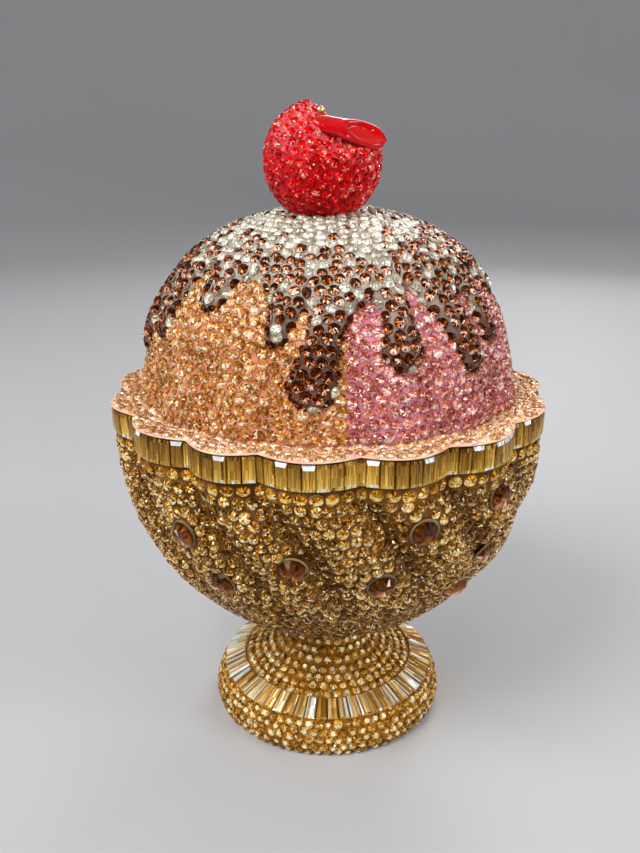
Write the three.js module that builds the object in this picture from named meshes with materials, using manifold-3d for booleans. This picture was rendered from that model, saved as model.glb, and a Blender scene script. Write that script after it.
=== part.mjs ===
// A jewelled ornament in the form of an ice cream sundae in a footed cup.
// A round foot carries a swirled cup. A scalloped plate with a belt of baguette stones closes the
// cup, and on it stands a fluted dome of ice cream, one half orange and one half pink, under a
// sheet of chocolate sauce that runs down in drips. A cherry with an enamelled stem lies on top.
// Millimetres, +Z up, origin in the middle of the foot's underside. Azimuth is in degrees, counted
// from the front, which is -Y, towards +X.
import * as THREE from 'three';
import { mergeVertices } from 'three/addons/utils/BufferGeometryUtils.js';
import Module from 'manifold-3d';

const wasm = await Module();
wasm.setup();

// ---- Driving dimensions -------------------------------------------------------------------

const GAP = 0.3; // between two pieces that touch
// Azimuths of the notches between the scallops, which are uneven in front and even behind. The
// ridges of the cup and the flutes of the dome follow the scallops.
const FRONT_NOTCHES = [-84.5, -61, -36.5, -16.8, 6.8, 28.8, 54, 81.5];
const BACK_LOBES = 8;
const LOBE_COUNT = FRONT_NOTCHES.length - 1 + BACK_LOBES;

const CUP_SEGMENTS = 4 * LOBE_COUNT; // facets round each curved body
const CUP_STEPS = 8;
const FOOT_SEGMENTS = 36;
const PLATE_SEGMENTS = 6 * LOBE_COUNT;
const DOME_SEGMENTS = 4 * LOBE_COUNT;
const DOME_STEPS = 8;

const FOOT_BASE_RADIUS = 34;
const FOOT_RADIUS = 36.4; // widest, a little above the base
const FOOT_WIDEST_Z = 3.6;
const NECK_RADIUS = 12.8;
const NECK_Z = 29; // top of the foot, where the cup stands

const FOOT_RING_OUTER = 33.2; // belt of baguettes on the foot: radii and heights of its edges
const FOOT_RING_OUTER_Z = 11.8;
const FOOT_RING_INNER = 26.7;
const FOOT_RING_INNER_Z = 14.7;
const FOOT_RING_KEEL = 0.4; // depth of the keel under the baguettes, below their outer edge
const FOOT_BAGUETTES = 60;
// [radius, height] of the foot's rounded edge, and of its cone from the belt up to the neck.
const FOOT_EDGE_PROFILE = [[FOOT_BASE_RADIUS, 0], [36, 1.2], [FOOT_RADIUS, FOOT_WIDEST_Z], [35.8, 7]];
const FOOT_CONE_PROFILE = [[21.8, 16.6], [17.4, 19], [14.2, 22.6], [NECK_RADIUS, NECK_Z]];

const CUP_RADIUS = 62; // over the ridges, just under the belt
const CUP_SHOULDER_Z = 92.8;
const SWIRL_DEPTH = 3.4; // of the valleys between the ridges, at the top of the cup
const SWIRL_FADE_Z = 34; // where the valleys run out
const SWIRL_FULL_Z = 84.2; // where they have come to their full depth
const SWIRL_TWIST = 27; // degrees that a ridge turns over SWIRL_TWIST_DROP below the rim
const SWIRL_TWIST_DROP = 45;
const SWIRL_TWIST_POWER = 0.8; // below 1, so that a ridge turns fastest at its start

const RIM_LOBE_RADIUS = 63.3; // lip of the plate, at a lobe and at a notch
const RIM_NOTCH_RADIUS = 59.5;
const RIM_TOP_Z = 104.5;
const LIP_THICKNESS = 0.9;
const LIP_WIDTH = 1.4;
const PLATE_STONES = 0.7; // height of the stones that cover the plate

const BELT_HEIGHT = 6.2;
const BELT_INSET = 0.6; // of the baguettes behind the lip
const BELT_DEPTH = 2.4;
const BELT_BAGUETTES = 124;
const BAGUETTE_RIDGE = 0.45; // height of a baguette's crown over its long edges

const BEAD_ROW_HEIGHT = 3.6; // row of round stones under the belt
const BEAD_ROW_STONES = 104;
const BEAD_PROUD = 0.9;
const BEAD_INSET = 1.4; // of the stones' tables behind the lip

const GEM_RADIUS = 4; // large single stones on the cup
const GEM_TABLE_RADIUS = 2.3;
const GEM_HEIGHT = 2.2; // from its seat to its table
const GEM_SEAT_DEPTH = 0.9;
const GEM_SEAT_SIDES = 6;
const GEM_SIDES = 8;
const GEM_GROUPS = 3; // the same group three times round the cup
// Azimuth and height of each stone of a group.
const GEM_GROUP = [[-38, 78.9], [-30, 65.1], [-8.9, 74.1], [13.3, 68.3],
  [22.3, 83.9], [45.3, 87.6], [48.2, 68.2], [40.6, 59.7]];

const DOME_BASE_RADIUS = 54.4;
const DOME_TOP_Z = 154.2;
const FLUTE_DEPTH = 1.6; // of the dome's upright flutes, at its base
const FLUTE_FADE_Z = 150;
const FLAVOUR_SPLIT = 4.5; // azimuth where orange meets pink at the front

const SAUCE_THICKNESS = 1.9;
const SAUCE_RADIUS = 48; // of the dome where the drips lie, which turns azimuths into widths
const SAUCE_CAP_Z = 144.5; // above this the sauce covers all
const ARCH_OVERLAP = 0.4; // of a drip with the next one, at the top of the arch between them
const CAP_OVERLAP = 3; // of a drip with the cap above it
const DRIP_BEND_UP = 0.45; // share of a drip's height where its sides begin to swing to its root
const DRIP_BEND_OVER = 0.4; // share of the way to the root that they have swung there
const DRIP_GROUPS = 3;
// Drips of one group: azimuths of root and tip, height of the tip, half width of the rounded end,
// half width of the neck, and the azimuth and height of the arch before the next drip.
const DRIPS = [
  { root: -62.0, tip: -63.5, tipZ: 124.4, endHalf: 3.0, neckHalf: 3.2, archAt: -54.5, archZ: 143.2 },
  { root: -44.0, tip: -42.5, tipZ: 133.3, endHalf: 4.3, neckHalf: 4.4, archAt: -27.7, archZ: 141.6 },
  { root: -14.0, tip: -15.7, tipZ: 127.3, endHalf: 2.7, neckHalf: 3.5, archAt: -7.6, archZ: 136.7 },
  { root: 0.5, tip: -4.9, tipZ: 113.5, endHalf: 6.2, neckHalf: 3.6, archAt: 12.0, archZ: 138.1 },
  { root: 21.5, tip: 20.6, tipZ: 121.6, endHalf: 5.4, neckHalf: 2.7, archAt: 26.5, archZ: 143.0 },
  { root: 37.5, tip: 44.3, tipZ: 118.9, endHalf: 3.9, neckHalf: 5.0, archAt: 49.0, archZ: 137.7 },
];

const CHERRY_RADIUS = 16.1;
const CHERRY_CENTRE = new THREE.Vector3(-1.8, -7.5, 167.9);
const CHERRY_SEGMENTS = 28;
const CHERRY_RINGS = 14;
const CLEFT_DEPTH = 6.2; // of the hollow across the cherry's top, which the stem comes out of
const CLEFT_X = 4.8; // middle of the hollow, off the cherry's centre
const CLEFT_HALF_WIDTH = 10.5;
// The line along the stem's middle, from the cherry's centre: its start, bend and end.
const STEM_LINE = [[-1.3, -9, 10.2], [5.2, -10.6, 8.6], [15.6, -6.2, 4.9]];
const STEM_START_WIDTH = 5.4;
const STEM_END_WIDTH = 7.4;
const STEM_THICKNESS = 2.5;
const STEM_ROUND_FROM = 0.82; // share of the length where its end begins to round off
const STEM_END_FLAT = 0.95; // 1 would bring the end to a point
const STEM_END_HEIGHT = 0.35; // share of the thickness that is left at the end
const STEM_SIDES = 8;
const STEM_STEPS = 9;
const STEM_TIP_RADIUS = 1.1;
const STEM_TIP_PLACE = [-0.6, -5.5, 12.3]; // from the cherry's centre

// ---- Helpers ------------------------------------------------------------------------------

const { degToRad, clamp, euclideanModulo, lerp, smoothstep } = THREE.MathUtils;
const group = new THREE.Group();

// Adds a named piece with its own material to the model.
function add(name, geometry, color, roughness, metalness) {
  const material = new THREE.MeshStandardMaterial({ color, roughness, metalness });
  const mesh = new THREE.Mesh(geometry, material);
  mesh.name = name;
  group.add(mesh);
  return mesh;
}

// Point at an azimuth, radius and height.
function polar(azimuth, radius, z) {
  const angle = degToRad(azimuth);
  return new THREE.Vector3(radius * Math.sin(angle), -radius * Math.cos(angle), z);
}

// Azimuths of all notches once round, with the first one again at the end.
const notches = [...FRONT_NOTCHES];
const firstNotch = FRONT_NOTCHES[0];
const backStep = (firstNotch + 360 - FRONT_NOTCHES.at(-1)) / BACK_LOBES;
while (notches.length <= LOBE_COUNT) notches.push(notches.at(-1) + backStep);

// Azimuths of columns that are spaced evenly all round, or evenly within each lobe.
const evenly = (part) => firstNotch + 360 * part;
function byLobes(part) {
  const i = Math.floor(part * LOBE_COUNT);
  return lerp(notches[i], notches[i + 1], part * LOBE_COUNT - i);
}

// Turns a profile of [radius, height] points round Z, from the first notch on. shape(point) gets
// each point's radius, z, azimuth and column, and may change the first three of them.
function turned(profile, segments, shape = () => {}, azimuthOf = evenly) {
  const geometry = new THREE.LatheGeometry(profile.map(([r, z]) => new THREE.Vector2(r, z)), segments);
  const position = geometry.attributes.position;
  for (let i = 0; i < position.count; i += 1) {
    const column = Math.floor(i / profile.length) % segments;
    const [radius, z] = profile[i % profile.length];
    const point = { radius, z, azimuth: azimuthOf(column / segments), column };
    if (radius > 0) shape(point);
    position.setXYZ(i, ...polar(point.azimuth, point.radius, point.z).toArray());
  }
  return facingOut(geometry);
}

// Merges shared corners, and flips the faces where the enclosed volume comes out negative.
function facingOut(source) {
  const bare = source.clone();
  for (const name of Object.keys(bare.attributes)) {
    if (name !== 'position') bare.deleteAttribute(name);
  }
  const geometry = mergeVertices(bare, 1e-4);
  const { array } = geometry.attributes.position;
  const kept = [];
  let volume = 0;
  for (let i = 0; i < geometry.index.count; i += 3) {
    const corners = [0, 1, 2].map((k) => geometry.index.getX(i + k));
    if (new Set(corners).size === 3) {
      const [a, b, c] = corners.map((n) => new THREE.Vector3().fromArray(array, 3 * n));
      volume += a.dot(b.cross(c));
      kept.push(corners);
    }
  }
  const order = volume < 0 ? kept.map(([a, b, c]) => [a, c, b]) : kept;
  geometry.setIndex(order.flat());
  geometry.computeVertexNormals();
  return geometry;
}

// Between a three.js geometry and a solid that booleans can work on.
function toSolid(geometry) {
  const closed = facingOut(geometry);
  return new wasm.Manifold(new wasm.Mesh({
    numProp: 3,
    vertProperties: new Float32Array(closed.attributes.position.array),
    triVerts: new Uint32Array(closed.index.array),
  }));
}

function fromSolid(solid) {
  const { numProp, vertProperties, triVerts } = solid.getMesh();
  const geometry = new THREE.BufferGeometry();
  const positions = new Float32Array(vertProperties.length / numProp * 3);
  for (let i = 0; i < positions.length / 3; i += 1) {
    positions.set(vertProperties.subarray(i * numProp, i * numProp + 3), 3 * i);
  }
  geometry.setAttribute('position', new THREE.BufferAttribute(positions, 3));
  geometry.setIndex(new THREE.BufferAttribute(new Uint32Array(triVerts), 1));
  geometry.computeVertexNormals();
  return geometry;
}

// A smooth curve through [radius, height] pairs.
const smooth = (pairs) => new THREE.SplineCurve(pairs.map(([r, z]) => new THREE.Vector2(r, z)));

// Where an azimuth lies in its lobe: 0 at the notch, 1 on the middle of the lobe.
function lobe(azimuth) {
  const once = firstNotch + euclideanModulo(azimuth - firstNotch, 360);
  const i = Math.min(notches.findLastIndex((notch) => notch <= once), LOBE_COUNT - 1);
  return Math.sin(Math.PI * (once - notches[i]) / (notches[i + 1] - notches[i]));
}

// Radius of the scalloped lip at an azimuth.
const rimRadius = (azimuth) => lerp(RIM_NOTCH_RADIUS, RIM_LOBE_RADIUS, lobe(azimuth));

// ---- Foot ---------------------------------------------------------------------------------

const FOOT_RING_MIDDLE = (FOOT_RING_OUTER + FOOT_RING_INNER) / 2;
const FOOT_RING_KEEL_Z = FOOT_RING_OUTER_Z - FOOT_RING_KEEL;

// The foot's upper side has a V-shaped groove that the belt of baguettes lies in.
function footGeometry() {
  const groove = [[FOOT_RING_OUTER + GAP, FOOT_RING_OUTER_Z],
    [FOOT_RING_MIDDLE, FOOT_RING_KEEL_Z - 2 * GAP],
    [FOOT_RING_INNER - GAP, FOOT_RING_INNER_Z]];
  const upper = [...groove, ...FOOT_CONE_PROFILE, [0, NECK_Z]];
  return turned([[0, 0], ...FOOT_EDGE_PROFILE, ...upper], FOOT_SEGMENTS);
}

// A ring whose top rises to a ridge along the middle of each baguette. Underneath it comes to a
// keel, as the backs of the stones do.
function footRingGeometry() {
  const profile = [[FOOT_RING_OUTER, FOOT_RING_OUTER_Z], [FOOT_RING_INNER, FOOT_RING_INNER_Z],
    [FOOT_RING_MIDDLE, FOOT_RING_KEEL_Z], [FOOT_RING_OUTER, FOOT_RING_OUTER_Z]];
  return turned(profile, 2 * FOOT_BAGUETTES, (point) => {
    const onTop = [FOOT_RING_OUTER_Z, FOOT_RING_INNER_Z].includes(point.z);
    if (onTop && point.column % 2) point.z += BAGUETTE_RIDGE;
  });
}

// ---- Cup ----------------------------------------------------------------------------------

// The ridges start at the lobes of the rim and turn towards +X on their way down.
function twist(z) {
  const drop = Math.max(CUP_SHOULDER_Z - z, 0) / SWIRL_TWIST_DROP;
  return SWIRL_TWIST * drop ** SWIRL_TWIST_POWER;
}

const valleyDepth = (z) => SWIRL_DEPTH * smoothstep(z, SWIRL_FADE_Z, SWIRL_FULL_Z);

function swirl(point) {
  if (point.z > CUP_SHOULDER_Z) return;
  point.radius -= valleyDepth(point.z) * (1 - lobe(point.azimuth));
  point.azimuth += twist(point.z);
}

const BELT_TOP_Z = RIM_TOP_Z - LIP_THICKNESS - GAP;
const BELT_BOTTOM_Z = BELT_TOP_Z - BELT_HEIGHT;
const BEAD_ROW_TOP_Z = BELT_BOTTOM_Z - GAP;
const BEAD_ROW_BOTTOM_Z = BEAD_ROW_TOP_Z - BEAD_ROW_HEIGHT;
const BELT_INNER_RADIUS = RIM_NOTCH_RADIUS - BELT_INSET - BELT_DEPTH;
const CUP_COLLAR_RADIUS = BELT_INNER_RADIUS - GAP;
const CUP_SPLINE = [[NECK_RADIUS, NECK_Z + GAP], [29.2, 37.4], [39.5, 44.4], [52.6, 59.4],
  [60.1, 77], [CUP_RADIUS, CUP_SHOULDER_Z]];

// Where the stones of the group lie on the ridges: foot of each stone's axis, and its direction.
function gemSeat(azimuth, z) {
  const fineSteps = 200;
  const points = smooth(CUP_SPLINE).getSpacedPoints(fineSteps);
  const near = points.findIndex((point) => point.y >= z);
  const slope = points[near + 1].clone().sub(points[near - 1]);
  const axis = polar(azimuth, slope.y, -slope.x).normalize();
  const radius = points[near].x - valleyDepth(z) * (1 - lobe(azimuth - twist(z)));
  return { surface: polar(azimuth, radius, z), axis };
}

const gemPlaces = [];
for (let turn = 0; turn < GEM_GROUPS; turn += 1) {
  for (const [azimuth, z] of GEM_GROUP) {
    gemPlaces.push(gemSeat(azimuth + turn * 360 / GEM_GROUPS, z));
  }
}

// Stands a shape, made along +Z, on a surface point along its axis.
function seated(geometry, { surface, axis }, lift) {
  const turn = new THREE.Quaternion().setFromUnitVectors(new THREE.Vector3(0, 0, 1), axis);
  geometry.applyQuaternion(turn);
  const place = surface.clone().addScaledVector(axis, lift);
  return geometry.translate(place.x, place.y, place.z);
}

function cupGeometry() {
  const wall = smooth(CUP_SPLINE).getSpacedPoints(CUP_STEPS).map((point) => point.toArray());
  const collar = [[CUP_COLLAR_RADIUS, BEAD_ROW_BOTTOM_Z - GAP], [CUP_COLLAR_RADIUS, BELT_TOP_Z]];
  const profile = [[0, NECK_Z + GAP], ...wall, ...collar, [0, BELT_TOP_Z]];
  let cup = toSolid(turned(profile, CUP_SEGMENTS, swirl, byLobes));
  const cutterAbove = 4; // how far a seat's cutter stands out of the cup
  const depth = GEM_SEAT_DEPTH + cutterAbove;
  const seatRadius = (GEM_RADIUS + GAP) / Math.cos(Math.PI / GEM_SEAT_SIDES);
  for (const place of gemPlaces) {
    const cutter = new THREE.CylinderGeometry(seatRadius, seatRadius, depth, GEM_SEAT_SIDES);
    cutter.rotateX(Math.PI / 2);
    cup = cup.subtract(toSolid(seated(cutter, place, depth / 2 - GEM_SEAT_DEPTH)));
  }
  return fromSolid(cup);
}

// A faceted stone: sloping crown and flat table.
function gemGeometry(place) {
  const points = [[0, 0], [GEM_RADIUS, 0], [GEM_TABLE_RADIUS, GEM_HEIGHT], [0, GEM_HEIGHT]];
  const outline = points.map(([r, z]) => new THREE.Vector2(r, z));
  const stone = new THREE.LatheGeometry(outline, GEM_SIDES);
  stone.rotateX(Math.PI / 2);
  return facingOut(seated(stone, place, GAP - GEM_SEAT_DEPTH));
}

// ---- Rim ----------------------------------------------------------------------------------

// The row of round stones, as a ring with a pointed knob for each stone.
function beadRowGeometry() {
  const middle = (BEAD_ROW_TOP_Z + BEAD_ROW_BOTTOM_Z) / 2;
  const profile = [[BELT_INNER_RADIUS, BEAD_ROW_BOTTOM_Z], [RIM_LOBE_RADIUS, middle],
    [BELT_INNER_RADIUS, BEAD_ROW_TOP_Z], [BELT_INNER_RADIUS, BEAD_ROW_BOTTOM_Z]];
  return turned(profile, 2 * BEAD_ROW_STONES, (point) => {
    if (point.z !== middle) return;
    const knob = point.column % 2 ? 0 : -BEAD_PROUD;
    point.radius = rimRadius(point.azimuth) - BEAD_INSET + knob;
  });
}

// The belt of upright baguettes, with a ridge along the middle of each.
function beltGeometry() {
  const profile = [[BELT_INNER_RADIUS, BELT_BOTTOM_Z], [RIM_LOBE_RADIUS, BELT_BOTTOM_Z],
    [RIM_LOBE_RADIUS, BELT_TOP_Z], [BELT_INNER_RADIUS, BELT_TOP_Z],
    [BELT_INNER_RADIUS, BELT_BOTTOM_Z]];
  return turned(profile, 2 * BELT_BAGUETTES, (point) => {
    if (point.radius !== RIM_LOBE_RADIUS) return;
    const ridge = point.column % 2 ? 0 : -BAGUETTE_RIDGE;
    point.radius = rimRadius(point.azimuth) - BELT_INSET + ridge;
  });
}

// The scalloped plate: a thin smooth lip, and inside it the raised field of stones.
function plateGeometry() {
  const bottom = RIM_TOP_Z - LIP_THICKNESS;
  const fieldZ = RIM_TOP_Z + PLATE_STONES;
  const profile = [[0, bottom], [RIM_LOBE_RADIUS, bottom], [RIM_LOBE_RADIUS, RIM_TOP_Z],
    [RIM_LOBE_RADIUS - LIP_WIDTH, fieldZ], [0, fieldZ]];
  const scallop = (point) => {
    point.radius += rimRadius(point.azimuth) - RIM_LOBE_RADIUS;
  };
  return turned(profile, PLATE_SEGMENTS, scallop, byLobes);
}

// ---- Ice cream ----------------------------------------------------------------------------

const DOME_BASE_Z = RIM_TOP_Z + PLATE_STONES + GAP;
const DOME_SPLINE = [[DOME_BASE_RADIUS, DOME_BASE_Z], [53.2, 112.5], [50.2, 124.5], [47.2, 130.7],
  [42.9, 136.6], [37.3, 142.6], [31.4, 146.8], [25.1, 149.9], [13, 153.2], [0, DOME_TOP_Z]];

// The dome's outline, moved out by an offset, and fluted in line with the scallops.
function domeGeometry(offset, segments = DOME_SEGMENTS, fluteDepth = FLUTE_DEPTH) {
  const curve = smooth(DOME_SPLINE);
  const outline = [];
  for (let i = 0; i <= DOME_STEPS; i += 1) {
    const point = curve.getPointAt(i / DOME_STEPS);
    const along = curve.getTangentAt(i / DOME_STEPS);
    outline.push([point.x + offset * along.y, point.y - offset * along.x]);
  }
  outline[DOME_STEPS][0] = 0;
  const flute = (point) => {
    const depth = fluteDepth * (1 - smoothstep(point.z, DOME_BASE_Z, FLUTE_FADE_Z));
    point.radius -= depth * (1 - lobe(point.azimuth));
  };
  return turned([[0, outline[0][1]], ...outline], segments, flute, byLobes);
}

// The dome without flutes and with few facets, for hidden faces. Its flat facets lie inside the
// round form, so it is made a little larger.
function plainDome(offset) {
  const allowance = 0.15;
  return toSolid(domeGeometry(offset + allowance, DOME_SEGMENTS / 2, 0));
}

// Everything on one side of the upright plane where the flavours meet, from floor to top.
function halfSpace(side) {
  const reach = 80;
  const box = new THREE.BoxGeometry(2 * reach, reach, 2 * reach);
  box.translate(0, reach / 2 + GAP / 2, DOME_TOP_Z);
  box.rotateZ(side > 0 ? 0 : Math.PI);
  return toSolid(box.rotateZ(degToRad(FLAVOUR_SPLIT + 90)));
}

// ---- Chocolate sauce ----------------------------------------------------------------------

// One drip's outline in the unrolled surface, x along the rim and y up, from the arch on its left
// to the arch on its right, closed by a straight top inside the cap.
function dripShape(drip, leftArch, rightArch) {
  const across = (azimuth) => degToRad(azimuth - drip.tip) * SAUCE_RADIUS;
  const left = across(leftArch.archAt) - ARCH_OVERLAP;
  const right = across(rightArch.archAt) + ARCH_OVERLAP;
  const { neckHalf, endHalf } = drip;
  const endZ = drip.tipZ + endHalf;
  const topZ = SAUCE_CAP_Z + CAP_OVERLAP;
  const root = across(drip.root);
  const bend = root * DRIP_BEND_OVER;
  const leftBendZ = lerp(endZ, leftArch.archZ, DRIP_BEND_UP);
  const rightBendZ = lerp(endZ, rightArch.archZ, DRIP_BEND_UP);
  const shape = new THREE.Shape();
  shape.moveTo(left, topZ);
  shape.lineTo(left, leftArch.archZ);
  shape.bezierCurveTo(root - neckHalf, leftArch.archZ, bend - neckHalf, leftBendZ, -endHalf, endZ);
  shape.absarc(0, endZ, endHalf, Math.PI, 2 * Math.PI, false);
  shape.bezierCurveTo(bend + neckHalf, rightBendZ, root + neckHalf, rightArch.archZ,
    right, rightArch.archZ);
  shape.lineTo(right, topZ);
  return shape;
}

// Solid that a drip's outline sweeps, straight in towards the axis.
function dripCutter(drip, leftArch, rightArch, turn) {
  const depth = 30;
  const outside = 12; // how far the cutter stands out of the sauce's middle radius
  const settings = { depth, bevelEnabled: false, curveSegments: 3 };
  const prism = new THREE.ExtrudeGeometry(dripShape(drip, leftArch, rightArch), settings);
  prism.rotateX(Math.PI / 2);
  prism.translate(0, -SAUCE_RADIUS + depth - outside, 0);
  prism.rotateZ(degToRad(drip.tip + turn));
  return toSolid(prism);
}

function sauceGeometry() {
  const capRadius = 80; // the cap only has to be wider and higher than the dome
  const capHeight = 40;
  const capSegments = 48;
  const cap = new THREE.CylinderGeometry(capRadius, capRadius, capHeight, capSegments);
  cap.rotateX(Math.PI / 2);
  cap.translate(0, 0, SAUCE_CAP_Z + capHeight / 2);
  let reach = toSolid(cap);
  for (let turn = 0; turn < DRIP_GROUPS; turn += 1) {
    DRIPS.forEach((drip, i) => {
      const last = DRIPS[DRIPS.length - 1];
      const before = DRIPS[i - 1] ?? { ...last, archAt: last.archAt - 360 / DRIP_GROUPS };
      reach = reach.add(dripCutter(drip, before, drip, turn * 360 / DRIP_GROUPS));
    });
  }
  const outside = toSolid(domeGeometry(SAUCE_THICKNESS));
  return fromSolid(outside.intersect(reach).subtract(plainDome(GAP)));
}

// ---- Cherry -------------------------------------------------------------------------------

const fromCherry = (x, y, z) => CHERRY_CENTRE.clone().add(new THREE.Vector3(x, y, z));

// A ball with a hollow across its top.
function cherryBall(radius) {
  const ball = new THREE.SphereGeometry(radius, CHERRY_SEGMENTS, CHERRY_RINGS);
  ball.rotateX(Math.PI / 2);
  const position = ball.attributes.position;
  for (let i = 0; i < position.count; i += 1) {
    const [x, y, z] = [position.getX(i), position.getY(i), position.getZ(i)];
    const off = clamp((x - CLEFT_X) / CLEFT_HALF_WIDTH, -1, 1);
    const hollow = CLEFT_DEPTH * (1 + Math.cos(Math.PI * off)) / 2;
    position.setXYZ(i, x, y, z - hollow * smoothstep(z, 0, CHERRY_RADIUS / 2));
  }
  return toSolid(ball.translate(...CHERRY_CENTRE.toArray()));
}

// The gilt bead at the stem's start.
function stemTip(radius) {
  const [segments, rings] = [12, 8];
  const bead = new THREE.SphereGeometry(radius, segments, rings);
  return facingOut(bead.translate(...fromCherry(...STEM_TIP_PLACE).toArray()));
}

// The ball is cut to sit on the sauce, and makes room for the bead.
function cherryGeometry() {
  const ball = cherryBall(CHERRY_RADIUS).subtract(toSolid(stemTip(STEM_TIP_RADIUS + GAP)));
  return fromSolid(ball.subtract(plainDome(SAUCE_THICKNESS + GAP)));
}

// The stem lies over the cherry's shoulder: narrow at the hollow, and widening to a round end.
function stemGeometry() {
  const [start, bend, end] = STEM_LINE.map((place) => fromCherry(...place));
  const line = new THREE.QuadraticBezierCurve3(start, bend, end);
  const sides = STEM_SIDES;
  const steps = STEM_STEPS;
  const positions = [];
  const index = [];
  for (let i = 0; i <= steps; i += 1) {
    const along = i / steps;
    const centre = line.getPoint(along);
    const out = centre.clone().sub(CHERRY_CENTRE).normalize();
    const across = line.getTangent(along).cross(out).normalize();
    const intoEnd = Math.max(along - STEM_ROUND_FROM, 0) / (1 - STEM_ROUND_FROM);
    const rounding = Math.sqrt(1 - (STEM_END_FLAT * intoEnd) ** 2);
    const halfWidth = lerp(STEM_START_WIDTH, STEM_END_WIDTH, along) / 2 * rounding;
    const halfHeight = STEM_THICKNESS / 2 * Math.max(rounding, STEM_END_HEIGHT);
    for (let k = 0; k < sides; k += 1) {
      const angle = 2 * Math.PI * k / sides;
      const corner = centre.clone().addScaledVector(across, halfWidth * Math.cos(angle));
      corner.addScaledVector(out, halfHeight * Math.sin(angle));
      positions.push(...corner.toArray());
      const next = (k + 1) % sides;
      const [a, b] = [i * sides + k, i * sides + next];
      if (i < steps) index.push(a, b, a + sides, b, b + sides, a + sides);
    }
  }
  for (const [ring, point] of [[0, start], [steps, end]]) {
    const middle = positions.length / 3;
    positions.push(...point.toArray());
    for (let k = 0; k < sides; k += 1) {
      const [a, b] = [ring * sides + k, ring * sides + (k + 1) % sides];
      index.push(middle, ...(ring === 0 ? [b, a] : [a, b]));
    }
  }
  const geometry = new THREE.BufferGeometry();
  geometry.setAttribute('position', new THREE.Float32BufferAttribute(positions, 3));
  geometry.setIndex(index);
  return fromSolid(toSolid(geometry).subtract(cherryBall(CHERRY_RADIUS + GAP)));
}

// ---- The model ----------------------------------------------------------------------------

add('foot', footGeometry(), 0xc79a55, 0.3, 0.2);
add('foot_baguettes', footRingGeometry(), 0xd8b070, 0.15, 0.2);
add('cup', cupGeometry(), 0x9a6a2c, 0.3, 0.2);
gemPlaces.forEach((place, i) => {
  add(`cup_gem_${String(i + 1).padStart(2, '0')}`, gemGeometry(place), 0x7a3c12, 0.1, 0.1);
});
add('rim_bead_row', beadRowGeometry(), 0xa86a18, 0.2, 0.2);
add('rim_baguettes', beltGeometry(), 0xb08434, 0.15, 0.2);
add('rim_plate', plateGeometry(), 0xd79a72, 0.35, 0.1);

const dome = toSolid(domeGeometry(0));
add('ice_cream_orange', fromSolid(dome.intersect(halfSpace(1))), 0xcf8a54, 0.35, 0);
add('ice_cream_pink', fromSolid(dome.intersect(halfSpace(-1))), 0xc4687a, 0.35, 0);
add('chocolate_sauce', sauceGeometry(), 0x4a2010, 0.25, 0);
add('cherry', cherryGeometry(), 0xc8101a, 0.25, 0);
add('cherry_stem', stemGeometry(), 0xc00012, 0.12, 0);
add('stem_tip', stemTip(STEM_TIP_RADIUS), 0xf2d58a, 0.2, 0.9);

export default group;
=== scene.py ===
# %% [markdown]
# # A jewelled ice cream sundae
# This ornament is a solid body of coloured resin that somebody has covered, stone by stone, with
# cut glass. Every surface is therefore two things: a smooth skin of resin, and a paving of small
# stones that are pressed into it. The cells below make the skins first, then cut one stone of each
# kind, and then spread copies of the stones over the skins.

import math

import bpy
import numpy as np
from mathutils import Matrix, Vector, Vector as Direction
from mathutils.kdtree import KDTree


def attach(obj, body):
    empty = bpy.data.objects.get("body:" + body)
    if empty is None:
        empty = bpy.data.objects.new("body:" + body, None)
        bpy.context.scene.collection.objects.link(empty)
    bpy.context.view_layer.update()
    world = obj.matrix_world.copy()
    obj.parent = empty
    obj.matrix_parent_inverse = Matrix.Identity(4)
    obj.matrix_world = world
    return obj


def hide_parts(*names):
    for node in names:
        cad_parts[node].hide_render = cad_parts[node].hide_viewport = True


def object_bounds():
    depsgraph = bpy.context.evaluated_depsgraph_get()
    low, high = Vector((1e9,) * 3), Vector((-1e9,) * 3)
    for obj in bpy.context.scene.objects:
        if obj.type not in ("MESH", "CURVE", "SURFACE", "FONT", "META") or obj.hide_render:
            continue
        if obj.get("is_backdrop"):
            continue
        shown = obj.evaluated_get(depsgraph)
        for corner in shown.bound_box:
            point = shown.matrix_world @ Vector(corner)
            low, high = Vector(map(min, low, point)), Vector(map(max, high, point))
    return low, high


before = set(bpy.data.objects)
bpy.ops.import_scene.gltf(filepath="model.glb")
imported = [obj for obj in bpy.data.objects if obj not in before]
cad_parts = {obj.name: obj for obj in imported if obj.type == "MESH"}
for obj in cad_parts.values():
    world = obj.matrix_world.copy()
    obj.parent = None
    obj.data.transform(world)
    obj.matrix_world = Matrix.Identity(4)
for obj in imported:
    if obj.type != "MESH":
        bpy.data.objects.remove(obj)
cad_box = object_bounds()
print("nodes in the frame:", len(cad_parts))

# %% [markdown]
# ## Camera, floor and light
# The camera looks down a little on the sundae, from close by, so that the plate is seen from above
# and the cup from its side. The floor is pale and curves up into a wall far behind. Cut glass lives
# on what it mirrors: one big soft light would leave it milky, so narrow lights stand round the big
# ones.

# %% Camera
MM = 0.001
PITCH_DOWN = 19.39
CAMERA_PLACE = (-2.47, -241.0, 176.1)
PICTURE_HEIGHT = 853
FOCAL_PIXELS = 850

camera_data = bpy.data.cameras.new("camera")
camera_data.sensor_fit = "VERTICAL"
camera_data.sensor_height = 36
camera_data.lens = 36 * FOCAL_PIXELS / PICTURE_HEIGHT
camera_data.clip_start = 0.01
camera = bpy.data.objects.new("camera", camera_data)
camera.location = [MM * value for value in CAMERA_PLACE]
camera.rotation_euler = (math.radians(90 - PITCH_DOWN), 0, 0)
bpy.context.scene.collection.objects.link(camera)
bpy.context.scene.camera = camera
print("lens in mm:", round(camera_data.lens, 2))


# %% Lights
SUNDAE_MIDDLE = (0, 0, 0.09)


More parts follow.
